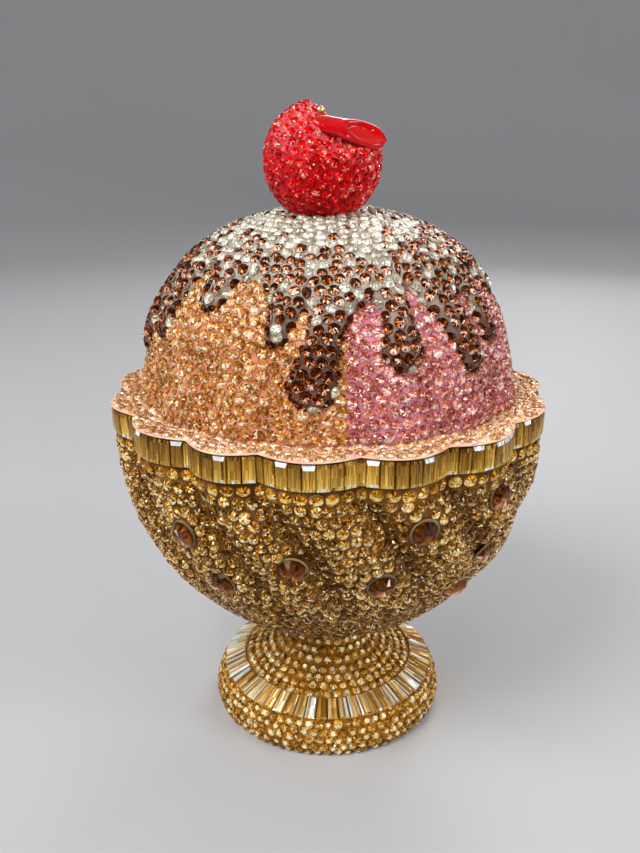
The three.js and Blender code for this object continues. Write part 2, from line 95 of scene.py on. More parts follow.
def soft_light(name, place, size, watts):
    """A lamp at a place in metres that shines at the middle of the sundae."""
    data = bpy.data.lights.new(name, "AREA")
    data.shape = "RECTANGLE"
    data.size, data.size_y = size
    data.energy = watts
    light = bpy.data.objects.new(name, data)
    light.location = place
    towards = Direction(SUNDAE_MIDDLE) - Direction(place)
    light.rotation_euler = towards.to_track_quat("-Z", "Y").to_euler()
    bpy.context.scene.collection.objects.link(light)


soft_light("key", (-0.42, -0.40, 0.72), (0.42, 0.42), 6.0)
soft_light("fill", (0.75, -0.30, 0.42), (0.35, 0.5), 3.0)
soft_light("back", (0.25, 0.75, 0.65), (0.5, 0.3), 3.0)
SPARKS = ((-0.55, -0.62, 0.30), (0.30, -0.80, 0.42), (-0.15, -0.70, 0.85), (0.62, -0.45, 0.75),
          (-0.80, -0.10, 0.50), (0.05, -0.85, 0.12), (0.8, 0.2, 0.5), (-0.5, 0.6, 0.5), (0.3, 0.8, 0.3))
for i, place in enumerate(SPARKS):
    soft_light(f"spark_{i + 1}", place, (0.05, 0.05), 0.4)

world = bpy.data.worlds.new("studio")
world.use_nodes = True
background = world.node_tree.nodes["Background"].inputs
background["Color"].default_value = (0.95, 0.97, 1.0, 1)
background["Strength"].default_value = 0.42
bpy.context.scene.world = world
bpy.context.scene.view_settings.view_transform = "Standard"

# %% [markdown]
# ## Shading written as sums
# A material is a net of nodes. Written node by node it is hard to read, so one small class wraps a
# socket and lets plain sums build the Math nodes. Every other node comes from its method `node`.


# %% A socket that can be added and multiplied
class Shade:
    def __init__(self, tree, socket=None):
        self.tree = tree
        self.socket = socket

    def node(self, kind, settings=(), inputs=(), output=0):
        made = self.tree.nodes.new("ShaderNode" + kind)
        for name, value in dict(settings).items():
            setattr(made, name, value)
        for key, value in dict(inputs).items():
            if isinstance(value, Shade):
                self.tree.links.new(value.socket, made.inputs[key])
            else:
                made.inputs[key].default_value = value
        return Shade(self.tree, made.outputs[output])

    def math(self, operation, *values):
        return self.node("Math", {"operation": operation}, enumerate(values))

    def __add__(self, other):
        return self.math("ADD", self, other)

    def __sub__(self, other):
        return self.math("SUBTRACT", self, other)

    def __rsub__(self, other):
        return self.math("SUBTRACT", other, self)

    def __mul__(self, other):
        return self.math("MULTIPLY", self, other)

    __radd__ = __add__
    __rmul__ = __mul__

    def clamped(self):
        return self.math("MINIMUM", self.math("MAXIMUM", self, 0.0), 1.0)

    def mix(self, factor, first, second):
        colours = {0: factor, 6: first, 7: second}
        return self.node("Mix", {"data_type": "RGBA"}, colours, 2)

    def tinted(self, factor):
        return self.node("VectorMath", {"operation": "SCALE"}, {0: self, 3: factor})

    def channel(self, number):
        return self.node("SeparateColor", (), {0: self}, number)

    def axis(self, number):
        return self.node("SeparateXYZ", (), {0: self}, number)

    def noise(self, scale, detail):
        return self.node("TexNoise", (), {"Vector": self, "Scale": scale, "Detail": detail})

    def ramp(self, positions, colours):
        made = self.node("ValToRGB", (), {0: self})
        elements = made.socket.node.color_ramp.elements
        while len(elements) < len(colours):
            elements.new(0.5)
        for element, position, colour in zip(elements, positions, colours):
            element.position = position
            element.color = colour
        return made


def new_material(name, **constants):
    material = bpy.data.materials.new(name)
    material.use_nodes = True
    shader = material.node_tree.nodes["Principled BSDF"]
    for socket, value in constants.items():
        shader.inputs[socket.replace("_", " ")].default_value = value
    return material, shader, Shade(material.node_tree)


def plug(shader, **shades):
    for socket, shade in shades.items():
        shade.tree.links.new(shade.socket, shader.inputs[socket.replace("_", " ")])


def srgb(code):
    """A colour such as 'c98a4e' as the linear light that nodes take, with its alpha."""
    parts = [int(code[i:i + 2], 16) / 255 for i in (0, 2, 4)]
    return (*(p / 12.92 if p <= 0.04045 else ((p + 0.055) / 1.055) ** 2.4 for p in parts), 1)


def clouded(name, dark, light, scale, detail, roughness=None, **constants):
    """A material whose colour, and its roughness too if two numbers tell it, drifts in clouds."""
    material, shader, start = new_material(name, **constants)
    clouds = start.node("TexCoord", output=3).noise(scale, detail)
    plug(shader, Base_Color=start.mix(clouds, dark, light))
    if roughness:
        plug(shader, Roughness=roughness[0] + clouds * roughness[1])
    return material


print("orange resin in linear light:", [round(v, 3) for v in srgb("e4a080")])

# %% [markdown]
# ## Resin and glass
# The resin is a two-part paste: a little uneven in colour, wavy from the tool that pressed it, with
# a soft gloss. The stones are glass with a mirror behind it. What such a stone shows is light that
# has wandered through it, so each facet gets a painted tone of its own, from the painted shade of
# the unlit facets to the painted glow of the lit ones, with painted glints, and on top of that its
# polished face mirrors the room.


# %% Material of the resin
def resin(name, colour, deep, high=None, step=(0.128, 70)):
    """colour and deep are the light and dark of its clouds; high is the colour it takes further up.
    step tells at which height the change to high starts, and how steep it is."""
    tint = {"Specular_Tint": srgb(colour), "Coat_Weight": 0.08}
    material, shader, start = new_material(f"{name}_resin", Coat_Roughness=0.2, IOR=1.45, **tint)
    place = start.node("TexCoord", output=3)
    clouds, fine = place.noise(130.0, 3.0), place.noise(900.0, 4.0)
    patch = ((clouds - 0.35) * 2.4 + (fine - 0.5) * 0.6).clamped()
    paint = start.mix(patch, srgb(deep), srgb(colour))
    if high:
        paint = start.mix(((place.axis(2) - step[0]) * step[1]).clamped(), paint, srgb(high))
    plug(shader, Base_Color=paint, Roughness=0.4 + (fine - 0.5) * 0.25)
    bump = {"Strength": 0.35, "Distance": 0.0003, "Height": clouds * 0.6 + fine * 0.4}
    plug(shader, Normal=start.node("Bump", (), bump))
    return material


# %% Material of the stones
SECTORS, RINGS = 20, 2.4
TONE_PLACES = (0, 0.35, 0.6, 0.85, 1)


def glass(name, tones, places=TONE_PLACES, fall=0.3, radius=1.5, grain=None, grit=0.45, glint=0.6):
    """tones are the colours from an unlit facet to a painted glint, and places tell where between 0
    and 1 each of them lies. fall is how much the low side is painted brighter, a painted glow. A
    round stone shows rings of small reflections, each painted a tone of its own, and a few of them
    get a painted glint, as strong as glint says and stronger low down. A bar shows streaks instead:
    grain tells how many of them there are to a millimetre, across and along the bar. The rim of a
    round stone is painted darker, a painted shadow of its setting. Each reflection leans its own
    way, so that a light shows in small parts of many stones."""
    tones = [srgb(code) for code in tones.split()]
    settings = {"Metallic": 0.27, "Coat_Weight": 0.05, "Specular_Tint": tones[3]}
    material, shader, start = new_material(f"{name}_glass", Coat_Roughness=0.03, IOR=1.5, **settings)
    facet = start.node("Attribute", {"attribute_name": "facet"})
    tone, stone, height = (facet.channel(number) for number in range(3))
    place = start.node("UVMap", {"uv_map": "cut"})
    across, along = place.axis(0), place.axis(1)
    if grain:
        first, second, edge = across * grain[0], along * grain[1], 0.0
    else:
        middle_gap = start.node("VectorMath", {"operation": "LENGTH"}, {0: place}, 1) * (1 / radius)
        turn = along.math("ARCTAN2", along, across)
        first, second = turn * (SECTORS / 2 / math.pi), middle_gap * RINGS
        # The ring at the rim of a round stone, where it gets a painted shadow of its setting
        edge = ((middle_gap - 0.91) * 16.0).clamped()
    spot = {0: first.math("FLOOR", first), 1: second.math("FLOOR", second), 2: stone * 60.0}
    cells = start.node("TexWhiteNoise", (), {"Vector": start.node("CombineXYZ", (), spot)}, 1)
    cell, spark = cells.channel(0), cells.channel(1)
    # Painted light: a painted glint in a few cells, stronger low down, a painted glow on the low side, and
    # the painted shadow at the rim
    flash = ((spark - 0.9) * 20.0).clamped() * (1.2 - height)
    lit = tone + (cell - 0.5) * grit + (0.5 - height) * fall + flash * glint - edge * 0.35
    paint = lit.clamped().ramp(places, tones).tinted(0.8 + stone * 0.4)
    plug(shader, Base_Color=paint, Roughness=0.1 + cell * 0.15)
    leaning = {0: 0.3, 1: start.node("CombineColor", (), {0: cell, 1: spark, 2: 1.0})}
    plug(shader, Normal=start.node("NormalMap", {"uv_map": "cut"}, leaning))
    return material


ORANGE_RESIN = resin("orange", "e4a080", "cc7e56")
PINK_RESIN = resin("pink", "dc94a2", "c87484")
# Low in the drips the sauce's resin is dark brown, partly its own colour and partly painted shade from the
# stones; higher up it turns pale grey
SAUCE_RESIN = resin("sauce", "886658", "624434", high="baae9e")
CUP_RESIN = resin("cup", "8a5a24", "4e2e0c")
CUP_COLLAR_RESIN = resin("cup_collar", "a47c48", "6e4c20")
GEM_COLLAR_RESIN = resin("gem_collar", "a08a64", "705a38")
FOOT_RESIN = resin("foot", "b47a24", "845012")
PLATE_RESIN = resin("plate", "f8ceb4", "e8b094")
CHERRY_RESIN = resin("cherry", "d41c30", "a40c18", high="e0606c", step=(0.166, 70))
SETTING_RESIN = resin("setting", "4a3410", "2a1c06")

ORANGE_GLASS = glass("orange", "6a3608 a66622 ca863c f4c888 fff6e0", grit=0.6, glint=1.0)
PLATE_GLASS = glass("plate", "844610 b47032 d29254 f4d2a0 fff8e8", grit=0.5, glint=0.8)
PINK_GLASS = glass("pink", "782c1e ac5444 c8725e f0b8ac fff4f0", grit=0.6, glint=1.0)
BROWN_GLASS = glass("brown", "140402 340e04 702604 e07810 f4e4d4", (0, 0.4, 0.64, 0.85, 1))
CLEAR_GLASS = glass("clear", "7c745e aea68e cec6ae eee8d6 ffffff")
CUP_GLASS = glass("cup", "2c1400 7a4606 b67820 f4cc70 fff8d0", (0, 0.35, 0.6, 0.83, 1),
                  fall=0.2, grit=0.55, glint=1.0)
FOOT_GLASS = glass("foot", "5e3602 9e6612 cc922e f4d88c fff8d8", fall=0.15, grit=0.35)
BEAD_GLASS = glass("bead", "402002 94580a cc8c20 f6c850 fff4b8", radius=1.8)
RED_GLASS = glass("red", "6c0000 b60002 da0606 f2341e ffc4b8", (0, 0.35, 0.62, 0.88, 1),
                  radius=1.38, grit=0.35)
GEM_GLASS = glass("gem", "200c02 4c220a 7c4016 c47836 f8d8b8", radius=3.75, glint=0.35, grit=0.35)
BAGUETTE_GLASS = glass("baguette", "44300a 80581e b28434 f0c858 eefcff", (0, 0.3, 0.6, 0.92, 1),
                       grain=(4.2, 0.4), fall=0.36, glint=0.1, grit=0.4)
FOOT_BAR_GLASS = glass("foot_bar", "6a4210 9a6a28 c4944a ecd098 eaffff", (0, 0.35, 0.6, 0.9, 1),
                       grain=(2.8, 0.2), fall=0.1, glint=0.15, grit=0.25)
print("materials:", len(bpy.data.materials))

# %% [markdown]
# ## The scallops
# The plate's edge is a row of scallops, uneven in front and even behind. The ridges of the cup and
# the flutes of the ice cream follow them, so one function tells how far an azimuth is from a notch.
# Azimuths are in degrees from the front (-Y) towards +X, and lengths here are in millimetres.

# %% Notches and lobes
FRONT_NOTCHES = (-84.5, -61, -36.5, -16.8, 6.8, 28.8, 54, 81.5)
BACK_LOBES = 8
back_step = (FRONT_NOTCHES[0] + 360 - FRONT_NOTCHES[-1]) / BACK_LOBES
back_notches = [FRONT_NOTCHES[-1] + back_step * (i + 1) for i in range(BACK_LOBES)]
NOTCHES = np.array([*FRONT_NOTCHES, *back_notches])
RIM_LOBE, RIM_NOTCH = 63.3, 59.5


def lobe(azimuth):
    """0 at a notch, 1 in the middle of a lobe."""
    once = NOTCHES[0] + (azimuth - NOTCHES[0]) % 360
    i = np.clip(np.searchsorted(NOTCHES, once, side="right") - 1, 0, len(NOTCHES) - 2)
    return np.sin(np.pi * (once - NOTCHES[i]) / (NOTCHES[i + 1] - NOTCHES[i]))


def rim_radius(azimuth):
    return RIM_NOTCH + (RIM_LOBE - RIM_NOTCH) * lobe(azimuth)


def scallop(azimuth, z):
    """How far the rim lies inside a circle round its lobes, at every height alike."""
    return (RIM_LOBE - RIM_NOTCH) * (1 - lobe(azimuth))


def polar(azimuth, radius, z):
    angle = np.radians(azimuth)
    return np.stack([radius * np.sin(angle), -radius * np.cos(angle), z + 0 * angle], -1)


def azimuth_of(points):
    return np.degrees(np.arctan2(points[:, 0], -points[:, 1]))


def radius_of(points):
    return np.hypot(points[:, 0], points[:, 1])


def unit(arrows):
    return arrows / np.linalg.norm(arrows, axis=1)[:, None].clip(1e-6)


def rise(value, low, high):
    """A soft step from 0 below low to 1 above high."""
    part = np.clip((value - low) / (high - low), 0, 1)
    return part * part * (3 - 2 * part)


print("scallops:", len(NOTCHES) - 1)

# %% [markdown]
# ## Skins
# Cup, dome and foot are turned forms: an outline goes once round the axis and is then pushed in here
# and there. A Skin keeps the outline as a smooth curve and knows the way back too, from a point in
# space to its azimuth and its distance along the outline. The stones are spread with it later.


# %% A turned skin
class Skin:
    def __init__(self, corners, push=lambda azimuth, z: 0 * z, straight=False):
        points = np.array(corners, float)
        if not straight:
            points = self.spline(points)
        steps = np.linalg.norm(np.diff(points, axis=0), axis=1)
        along = np.concatenate([[0], np.cumsum(steps)])
        self.length = along[-1]
        self.s = np.linspace(0, self.length, 500)
        self.r = np.interp(self.s, along, points[:, 0])
        self.z = np.interp(self.s, along, points[:, 1])
        slope = unit(np.gradient(np.stack([self.r, self.z], 1), self.s, axis=0))
        self.out_r, self.out_z = slope[:, 1], -slope[:, 0]
        self.push = push

    @staticmethod
    def spline(points, steps=40):
        """Catmull-Rom curve through the corners."""
        padded = np.concatenate([points[:1], points, points[-1:]])
        t = np.linspace(0, 1, steps, endpoint=False)[:, None]
        curve = []
        for a, b, c, d in zip(padded, padded[1:], padded[2:], padded[3:]):
            v, w = (c - a) / 2, (d - b) / 2
            curve.append((2 * b - 2 * c + v + w) * t ** 3 + (3 * c - 3 * b - 2 * v - w) * t ** 2 + v * t + b)
        return np.concatenate([*curve, points[-1:]])

    def outline(self, along, out=0.0):
        r = np.interp(along, self.s, self.r) + out * np.interp(along, self.s, self.out_r)
        z = np.interp(along, self.s, self.z) + out * np.interp(along, self.s, self.out_z)
        return np.maximum(r, 0), z

    def at(self, azimuth, along, out=0.0):
        """Points on the surface, moved out by a distance or by out(azimuth, along)."""
        r, z = self.outline(along, out(azimuth, along) if callable(out) else out)
        return polar(azimuth, r - self.push(azimuth, z) * (r > 0), z)

    def find(self, points):
        """Azimuth and distance along the outline of the places nearest to some points."""
        azimuth = azimuth_of(points)
        r = radius_of(points) + self.push(azimuth, points[:, 2])
        gap = (r[:, None] - self.r) ** 2 + (points[:, 2][:, None] - self.z) ** 2
        return azimuth, self.s[np.argmin(gap, axis=1)]

    def normal(self, azimuth, along, out=0.0):
        """Direction straight out of the pushed-in surface."""
        step = 0.25
        across = self.at(azimuth + step, along, out) - self.at(azimuth - step, along, out)
        up = self.at(azimuth, along + step, out) - self.at(azimuth, along - step, out)
        return unit(np.cross(across, up))

    def outwards(self, points, out=0.0):
        return self.normal(*self.find(points), out)


# %% Skins of the cup and the dome
CUP_SHOULDER_Z = 92.8
CUP_CORNERS = [(12.8, 29.3), (29.2, 37.4), (39.5, 44.4), (52.6, 59.4), (60.1, 77), (62, CUP_SHOULDER_Z)]
DOME_BASE_RADIUS, DOME_BASE_Z = 54.4, 105.5
DOME_CORNERS = [(DOME_BASE_RADIUS, DOME_BASE_Z), (53.2, 112.5), (50.2, 124.5), (47.2, 130.7),
                (42.9, 136.6), (37.3, 142.6), (31.4, 146.8), (25.1, 149.9), (13, 153.2), (0, 154.2)]
FLAVOUR_SPLIT = 4.5
SWIRL_DEPTH = 3.4
SWIRL_FADE_Z, SWIRL_FULL_Z = 34, 84.2
SWIRL_TWIST, SWIRL_TWIST_DROP, SWIRL_TWIST_POWER = 27, 45, 0.8
FLUTE_DEPTH = 1.6
FLUTE_FADE_Z = 150


def swirl(azimuth, z):
    """Depth of the valleys that turn round the cup as they run down."""
    drop = np.maximum(CUP_SHOULDER_Z - z, 0) / SWIRL_TWIST_DROP
    valley = 1 - lobe(azimuth - SWIRL_TWIST * drop ** SWIRL_TWIST_POWER)
    return SWIRL_DEPTH * rise(z, SWIRL_FADE_Z, SWIRL_FULL_Z) * valley


def flute(azimuth, z):
    return FLUTE_DEPTH * (1 - rise(z, DOME_BASE_Z, FLUTE_FADE_Z)) * (1 - lobe(azimuth))


cup_skin = Skin(CUP_CORNERS, swirl)
dome_skin = Skin(DOME_CORNERS, flute)
print("outline lengths in mm:", round(cup_skin.length, 1), round(dome_skin.length, 1))

# %% [markdown]
# ## Turned bodies
# A turned body starts as a single vertex. Extruding it from corner to corner draws the outline, and
# the Spin operator takes the outline once round the axis. After that the mesh is pushed in with the
# same functions as the skin, vertex by vertex, because no modifier knows these scallops.


# %% Modes and selections
def mode(kind):
    bpy.ops.object.mode_set(mode=kind)


def deselect():
    if bpy.context.object and bpy.context.object.mode != "OBJECT":
        mode("OBJECT")
    bpy.ops.object.select_all(action="DESELECT")


def made_by(operator, name="cut", location=(0, 0, 0), **settings):
    """What an operator adds, under its name."""
    deselect()
    operator(location=location, **settings)
    piece = bpy.context.object
    piece.name = piece.data.name = name
    return piece


def edit_all():
    mode("EDIT")
    bpy.ops.mesh.select_all(action="SELECT")


def edit_some(kind, parts, wanted):
    """Opens the mesh for editing with only the wanted ones of its vertices or faces selected."""
    mode("EDIT")
    bpy.ops.mesh.select_mode(type=kind)
    bpy.ops.mesh.select_all(action="DESELECT")
    mode("OBJECT")
    for part in parts:
        part.select = wanted(part)
    mode("EDIT")


# %% Spin an outline
def turned_body(name, outline, steps=300):
    """A body of revolution from (radius, z) pairs in millimetres."""
    body = made_by(bpy.ops.mesh.primitive_plane_add, name, size=MM)
    mode("EDIT")
    bpy.ops.mesh.select_mode(type="VERT")
    bpy.ops.mesh.merge(type="CENTER")
    bpy.ops.transform.translate(value=(outline[0][0] * MM, 0, outline[0][1] * MM))
    for (r0, z0), (r1, z1) in zip(outline, outline[1:]):
        move = ((r1 - r0) * MM, 0, (z1 - z0) * MM)
        bpy.ops.mesh.extrude_vertices_move(TRANSFORM_OT_translate={"value": move})
    bpy.ops.mesh.select_all(action="SELECT")
    bpy.ops.mesh.spin(steps=steps, angle=2 * math.pi, center=(0, 0, 0), axis=(0, 0, 1))
    bpy.ops.mesh.select_all(action="SELECT")
    bpy.ops.mesh.remove_doubles(threshold=0.02 * MM)
    bpy.ops.mesh.normals_make_consistent(inside=False)
    mode("OBJECT")
    return body


def corners(body):
    flat = np.empty(3 * len(body.data.vertices))
    body.data.vertices.foreach_get("co", flat)
    return flat.reshape(-1, 3) / MM


def move_corners(body, points):
    body.data.vertices.foreach_set("co", (points * MM).ravel())
    body.data.update()


def pushed_in(body, push):
    """Moves each vertex towards the axis by push(azimuth, z)."""
    points = corners(body)
    azimuth = azimuth_of(points)
    radius = radius_of(points)
    inner = np.maximum(radius - push(azimuth, points[:, 2]) * (radius > 1), 0)
    move_corners(body, np.where((radius > 1)[:, None], polar(azimuth, inner, points[:, 2]), points))
    return body


def finished(piece, material, replaces=(), angle=None):
    """Last steps of every piece: shading, material, and its place in the frame."""
    deselect()
    piece.select_set(True)
    bpy.context.view_layer.objects.active = piece
    if angle is None:
        bpy.ops.object.shade_smooth()
    else:
        bpy.ops.object.shade_smooth_by_angle(angle=math.radians(angle))
    piece.data.materials.clear()
    piece.data.materials.append(material)
    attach(piece, "root")
    if replaces:
        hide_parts(*replaces)
    print(piece.name, "faces:", len(piece.data.polygons))


# %% [markdown]
# ## The resin skins
# Resin lies a little under the surface of the solid model, because the stones stand out of it. The
# cup is turned in one piece up to its shoulder, and carries the scalloped wall behind the belt.

# %% Foot, cup and wall
RESIN_DEPTH = 0.75
FOOT_CORNERS = [(34, 0), (35.7, 0.9), (36.4, 3.6), (35.9, 6.4), (34.9, 9.2), (33.4, 11.8)]
CONE_CORNERS = [(26.4, 14.7), (21.8, 16.6), (17.4, 19), (14.2, 22.6), (12.8, 29)]
foot_skin = Skin(FOOT_CORNERS)
cone_skin = Skin(CONE_CORNERS)


def sampled(skin, out, count):
    r, z = skin.outline(np.linspace(0, skin.length, count), out)
    return list(zip(r, z))


lower = sampled(foot_skin, -RESIN_DEPTH, 14)
lower[0] = (lower[0][0], 0)
cone = sampled(cone_skin, -RESIN_DEPTH, 18)
foot = turned_body("foot_resin", [(0, 0), *lower, (33.0, 11.0), (30, 11.2), (27, 13.6), *cone, (0, 29)], 160)
finished(foot, FOOT_RESIN, ["foot"], 50)

wall = sampled(cup_skin, -RESIN_DEPTH, 56)
WALL_INSET = 2.0
collar = [(RIM_LOBE - WALL_INSET, z) for z in (93.4, 95.0, 96.8)]


def cup_push(azimuth, z):
    return np.where(z > CUP_SHOULDER_Z + 0.1, scallop(azimuth, z), swirl(azimuth, z))


cup = turned_body("cup_resin", [(0, 29.3), *wall, *collar, (0, 96.8)])
finished(pushed_in(cup, cup_push), CUP_RESIN, ["cup"], 50)

# %% The dome, cut where the flavours meet
PLATE_BED_Z = 104.6
dome_outline = [(0, PLATE_BED_Z), *sampled(dome_skin, -RESIN_DEPTH, 60)]
dome_outline[1] = (dome_outline[1][0], PLATE_BED_Z)
dome_outline[-1] = (0, dome_outline[-1][1])
split = math.radians(FLAVOUR_SPLIT)
FLAVOURS = (("orange", 1, (ORANGE_GLASS, ORANGE_RESIN)), ("pink", -1, (PINK_GLASS, PINK_RESIN)))
for name, side, (_, paste) in FLAVOURS:
    half = pushed_in(turned_body(f"ice_cream_{name}_resin", dome_outline), flute)
    edit_all()
    across = (math.cos(split) * side, math.sin(split) * side, 0)
    bpy.ops.mesh.bisect(plane_co=(0, 0, 0), plane_no=across, use_fill=True, clear_outer=True)
    mode("OBJECT")
    finished(half, paste, [f"ice_cream_{name}"], 50)

# %% [markdown]
# ## The chocolate sauce
# The sauce is a sheet that lies over the top of the dome and runs down in drips. Its outline is
# drawn drip by drip, in a flat frame that looks at the drip square on: x across, y up. A function
# tells how far a place lies inside the outline, and the sheet rises with that distance, so that
# its edge comes out round.

# %% Outlines of the drips
SAUCE_THICKNESS = 1.9
SAUCE_RADIUS = 48
SAUCE_CAP_Z = 144.5
ARCH_OVERLAP = 0.4
CAP_OVERLAP = 3  # of the drips and the cap
BEND_HEIGHT = 0.45  # of the way up from a drip's end, where its sides bend
BEND_SHIFT = 0.4  # of the way across to its root
DRIP_GROUPS = 3
DRIP = ("root", "tip", "tip_z", "end", "neck", "arch", "arch_z")
DRIPS = [dict(zip(DRIP, values)) for values in (
    (-62.0, -63.5, 124.4, 3.0, 3.2, -54.5, 143.2), (-44.0, -42.5, 133.3, 4.3, 4.4, -27.7, 141.6),
    (-14.0, -15.7, 127.3, 2.7, 3.5, -7.6, 136.7), (0.5, -4.9, 113.5, 6.2, 3.6, 12.0, 138.1),
    (21.5, 20.6, 121.6, 5.4, 2.7, 26.5, 143.0), (37.5, 44.3, 118.9, 3.9, 5.0, 49.0, 137.7))]


def bezier(points, count=14):
    t = np.linspace(0, 1, count)[:, None]
    a, b, c, d = np.array(points, float)
    return (1 - t) ** 3 * a + 3 * (1 - t) ** 2 * t * b + 3 * (1 - t) * t * t * c + t ** 3 * d


def drip_outline(drip, left_arch, left_z):
    """Corners of a drip from its left arch round its tip to its right arch, closed at the top."""
    left = math.radians(left_arch - drip["tip"]) * SAUCE_RADIUS - ARCH_OVERLAP
    right = math.radians(drip["arch"] - drip["tip"]) * SAUCE_RADIUS + ARCH_OVERLAP
    root = math.radians(drip["root"] - drip["tip"]) * SAUCE_RADIUS
    end, neck, arch_z = drip["end"], drip["neck"], drip["arch_z"]
    end_z, bend = drip["tip_z"] + end, BEND_SHIFT * root
    left_bend, right_bend = (end_z + BEND_HEIGHT * (z - end_z) for z in (left_z, arch_z))
    down = bezier([(left, left_z), (root - neck, left_z), (bend - neck, left_bend), (-end, end_z)])
    up = bezier([(end, end_z), (bend + neck, right_bend), (root + neck, arch_z), (right, arch_z)])
    turn = np.radians(np.linspace(180, 360, 14)[1:-1])[:, None]
    tip = np.array([0, end_z]) + end * np.concatenate([np.cos(turn), np.sin(turn)], 1)
    top = SAUCE_CAP_Z + CAP_OVERLAP
    return np.concatenate([[(left, top)], down, tip, up, [(right, top)]])


OUTLINES = []
GROUP_TURN = 360 / DRIP_GROUPS
for group in range(DRIP_GROUPS):
    for i, drip in enumerate(DRIPS):
        before = DRIPS[i - 1]
        outline = drip_outline(drip, before["arch"] - (0 if i else GROUP_TURN), before["arch_z"])
        OUTLINES.append((drip["tip"] + group * GROUP_TURN, outline))
print("drips:", len(OUTLINES))


# %% Distance inside the sauce
def inside_outline(x, y, corners_xy):
    """Signed distance to a closed outline, positive inside."""
    a, b = corners_xy, np.roll(corners_xy, -1, axis=0)
    edge = b - a
    px, py = x[:, None] - a[:, 0], y[:, None] - a[:, 1]
    t = np.clip((px * edge[:, 0] + py * edge[:, 1]) / (edge ** 2).sum(1).clip(1e-9), 0, 1)
    gap = np.hypot(px - t * edge[:, 0], py - t * edge[:, 1]).min(1)
    crosses = (a[:, 1] > y[:, None]) != (b[:, 1] > y[:, None])
    rise_y = np.where(np.abs(edge[:, 1]) < 1e-9, 1e-9, edge[:, 1])
    left_of = px < py * edge[:, 0] / rise_y
    return np.where((crosses & left_of).sum(1) % 2 == 1, gap, -gap)


def sauce_depth(points):
    """How far each point lies inside the sauce, in millimetres."""
    azimuth = azimuth_of(points)
    radius, z = radius_of(points), points[:, 2]
    depth = z - SAUCE_CAP_Z
    for tip, outline in OUTLINES:
        off = (azimuth - tip + 180) % 360 - 180
        near = (np.abs(off) < 60) & (z < SAUCE_CAP_Z + 6) & (z > 105)
        x = radius[near] * np.sin(np.radians(off[near]))
        depth[near] = np.maximum(depth[near], inside_outline(x, z[near], outline))
    return depth


# %% The sheet of sauce
SAUCE_SINK = 0.6
SHEET_FROM = 0.06  # of the way up the dome, below which no drip reaches
SHEET_EDGE = -0.25  # depth at which the sheet is cut off
SHEET_THICKNESS = 0.8


def sauce_lift(azimuth, along):
    """Height of the sauce's resin over the solid dome; it is round towards its edge."""
    depth = sauce_depth(dome_skin.at(azimuth, along))
    swell = np.sqrt(rise(depth, -0.3, 2.6))
    return (SAUCE_THICKNESS + SAUCE_SINK) * swell - SAUCE_SINK - RESIN_DEPTH


sheet_steps = np.linspace(SHEET_FROM * dome_skin.length, dome_skin.length, 120)
sheet = turned_body("sauce_resin", [dome_skin.outline(step) for step in sheet_steps], 420)
azimuth, along = dome_skin.find(corners(sheet))
depth = sauce_depth(dome_skin.at(azimuth, along))
move_corners(sheet, dome_skin.at(azimuth, along, sauce_lift))
edit_some("FACE", sheet.data.polygons, lambda face: depth[list(face.vertices)].max() < SHEET_EDGE)
bpy.ops.mesh.delete(type="FACE")
mode("OBJECT")
thickness = sheet.modifiers.new("thickness", "SOLIDIFY")
thickness.thickness = SHEET_THICKNESS * MM
thickness.offset = -1
bpy.ops.object.modifier_apply(modifier="thickness")
finished(sheet, SAUCE_RESIN, ["chocolate_sauce"])

# %% [markdown]
# ## The plate
# The plate closes the cup: a thin smooth lip with a raised bed for the stones inside it. Its outline
# is round when it is spun, and the scallops are pushed in afterwards.

# %% Plate
plate_outline = [(0, 104.15), (62.5, 104.15), (62.75, 104.2), (62.85, 104.36), (62.75, 104.52),
                 (62.55, 104.6), (62.2, 104.6), (60.5, 104.6), (40, 104.6), (0, 104.6)]
plate = turned_body("plate_resin", plate_outline, 480)
finished(pushed_in(plate, scallop), PLATE_RESIN, ["rim_plate"], 60)

# %% [markdown]
# ## Cutting the stones
# A round stone is a low cylinder whose top face is shrunk to a table and turned by half a facet, so
# that the sides split into facets that point up and facets that point down. The table is a fan of
# wedges: they lie in one plane, but each shows another facet of the stone's back.


# %% Round stone
def taken(stone):
    """Corners, triangles and the facet of each triangle. The model itself is cleared away."""
    points = corners(stone)
    triangles = np.array([(facet.vertices[0], b, c, facet.index) for facet in stone.data.polygons
                          for b, c in zip(facet.vertices[1:], facet.vertices[2:])])
    mesh = stone.data
    bpy.data.objects.remove(stone)
    bpy.data.meshes.remove(mesh)
    return points, triangles[:, :3], triangles[:, 3]


def cut_stone(sides, radius, table, crown):
    """A stone in millimetres, with its girdle at z = 0 and its table at z = crown."""
    stone = made_by(bpy.ops.mesh.primitive_cylinder_add, vertices=sides, radius=radius * MM,
                    depth=2 * crown * MM, end_fill_type="TRIFAN")
    edit_some("VERT", stone.data.vertices, lambda vertex: vertex.co.z > 0)
    share = table / radius
    bpy.ops.transform.resize(value=(share, share, 1))
    bpy.ops.transform.rotate(value=math.pi / sides, orient_axis="Z", center_override=(0, 0, 0))
    bpy.ops.mesh.select_all(action="SELECT")
    bpy.ops.transform.translate(value=(0, 0, crown * MM))
    bpy.ops.transform.resize(value=(1, 1, 0.5), center_override=(0, 0, 0))
    bpy.ops.mesh.quads_convert_to_tris(quad_method="SHORTEST_DIAGONAL")
    bpy.ops.mesh.normals_make_consistent(inside=False)
    mode("OBJECT")
    return taken(stone)


ROUND = cut_stone(10, 1.53, 0.86, 0.6)
print("round stone:", len(ROUND[1]), "faces, height", round(float(np.ptp(ROUND[0][:, 2])), 2))

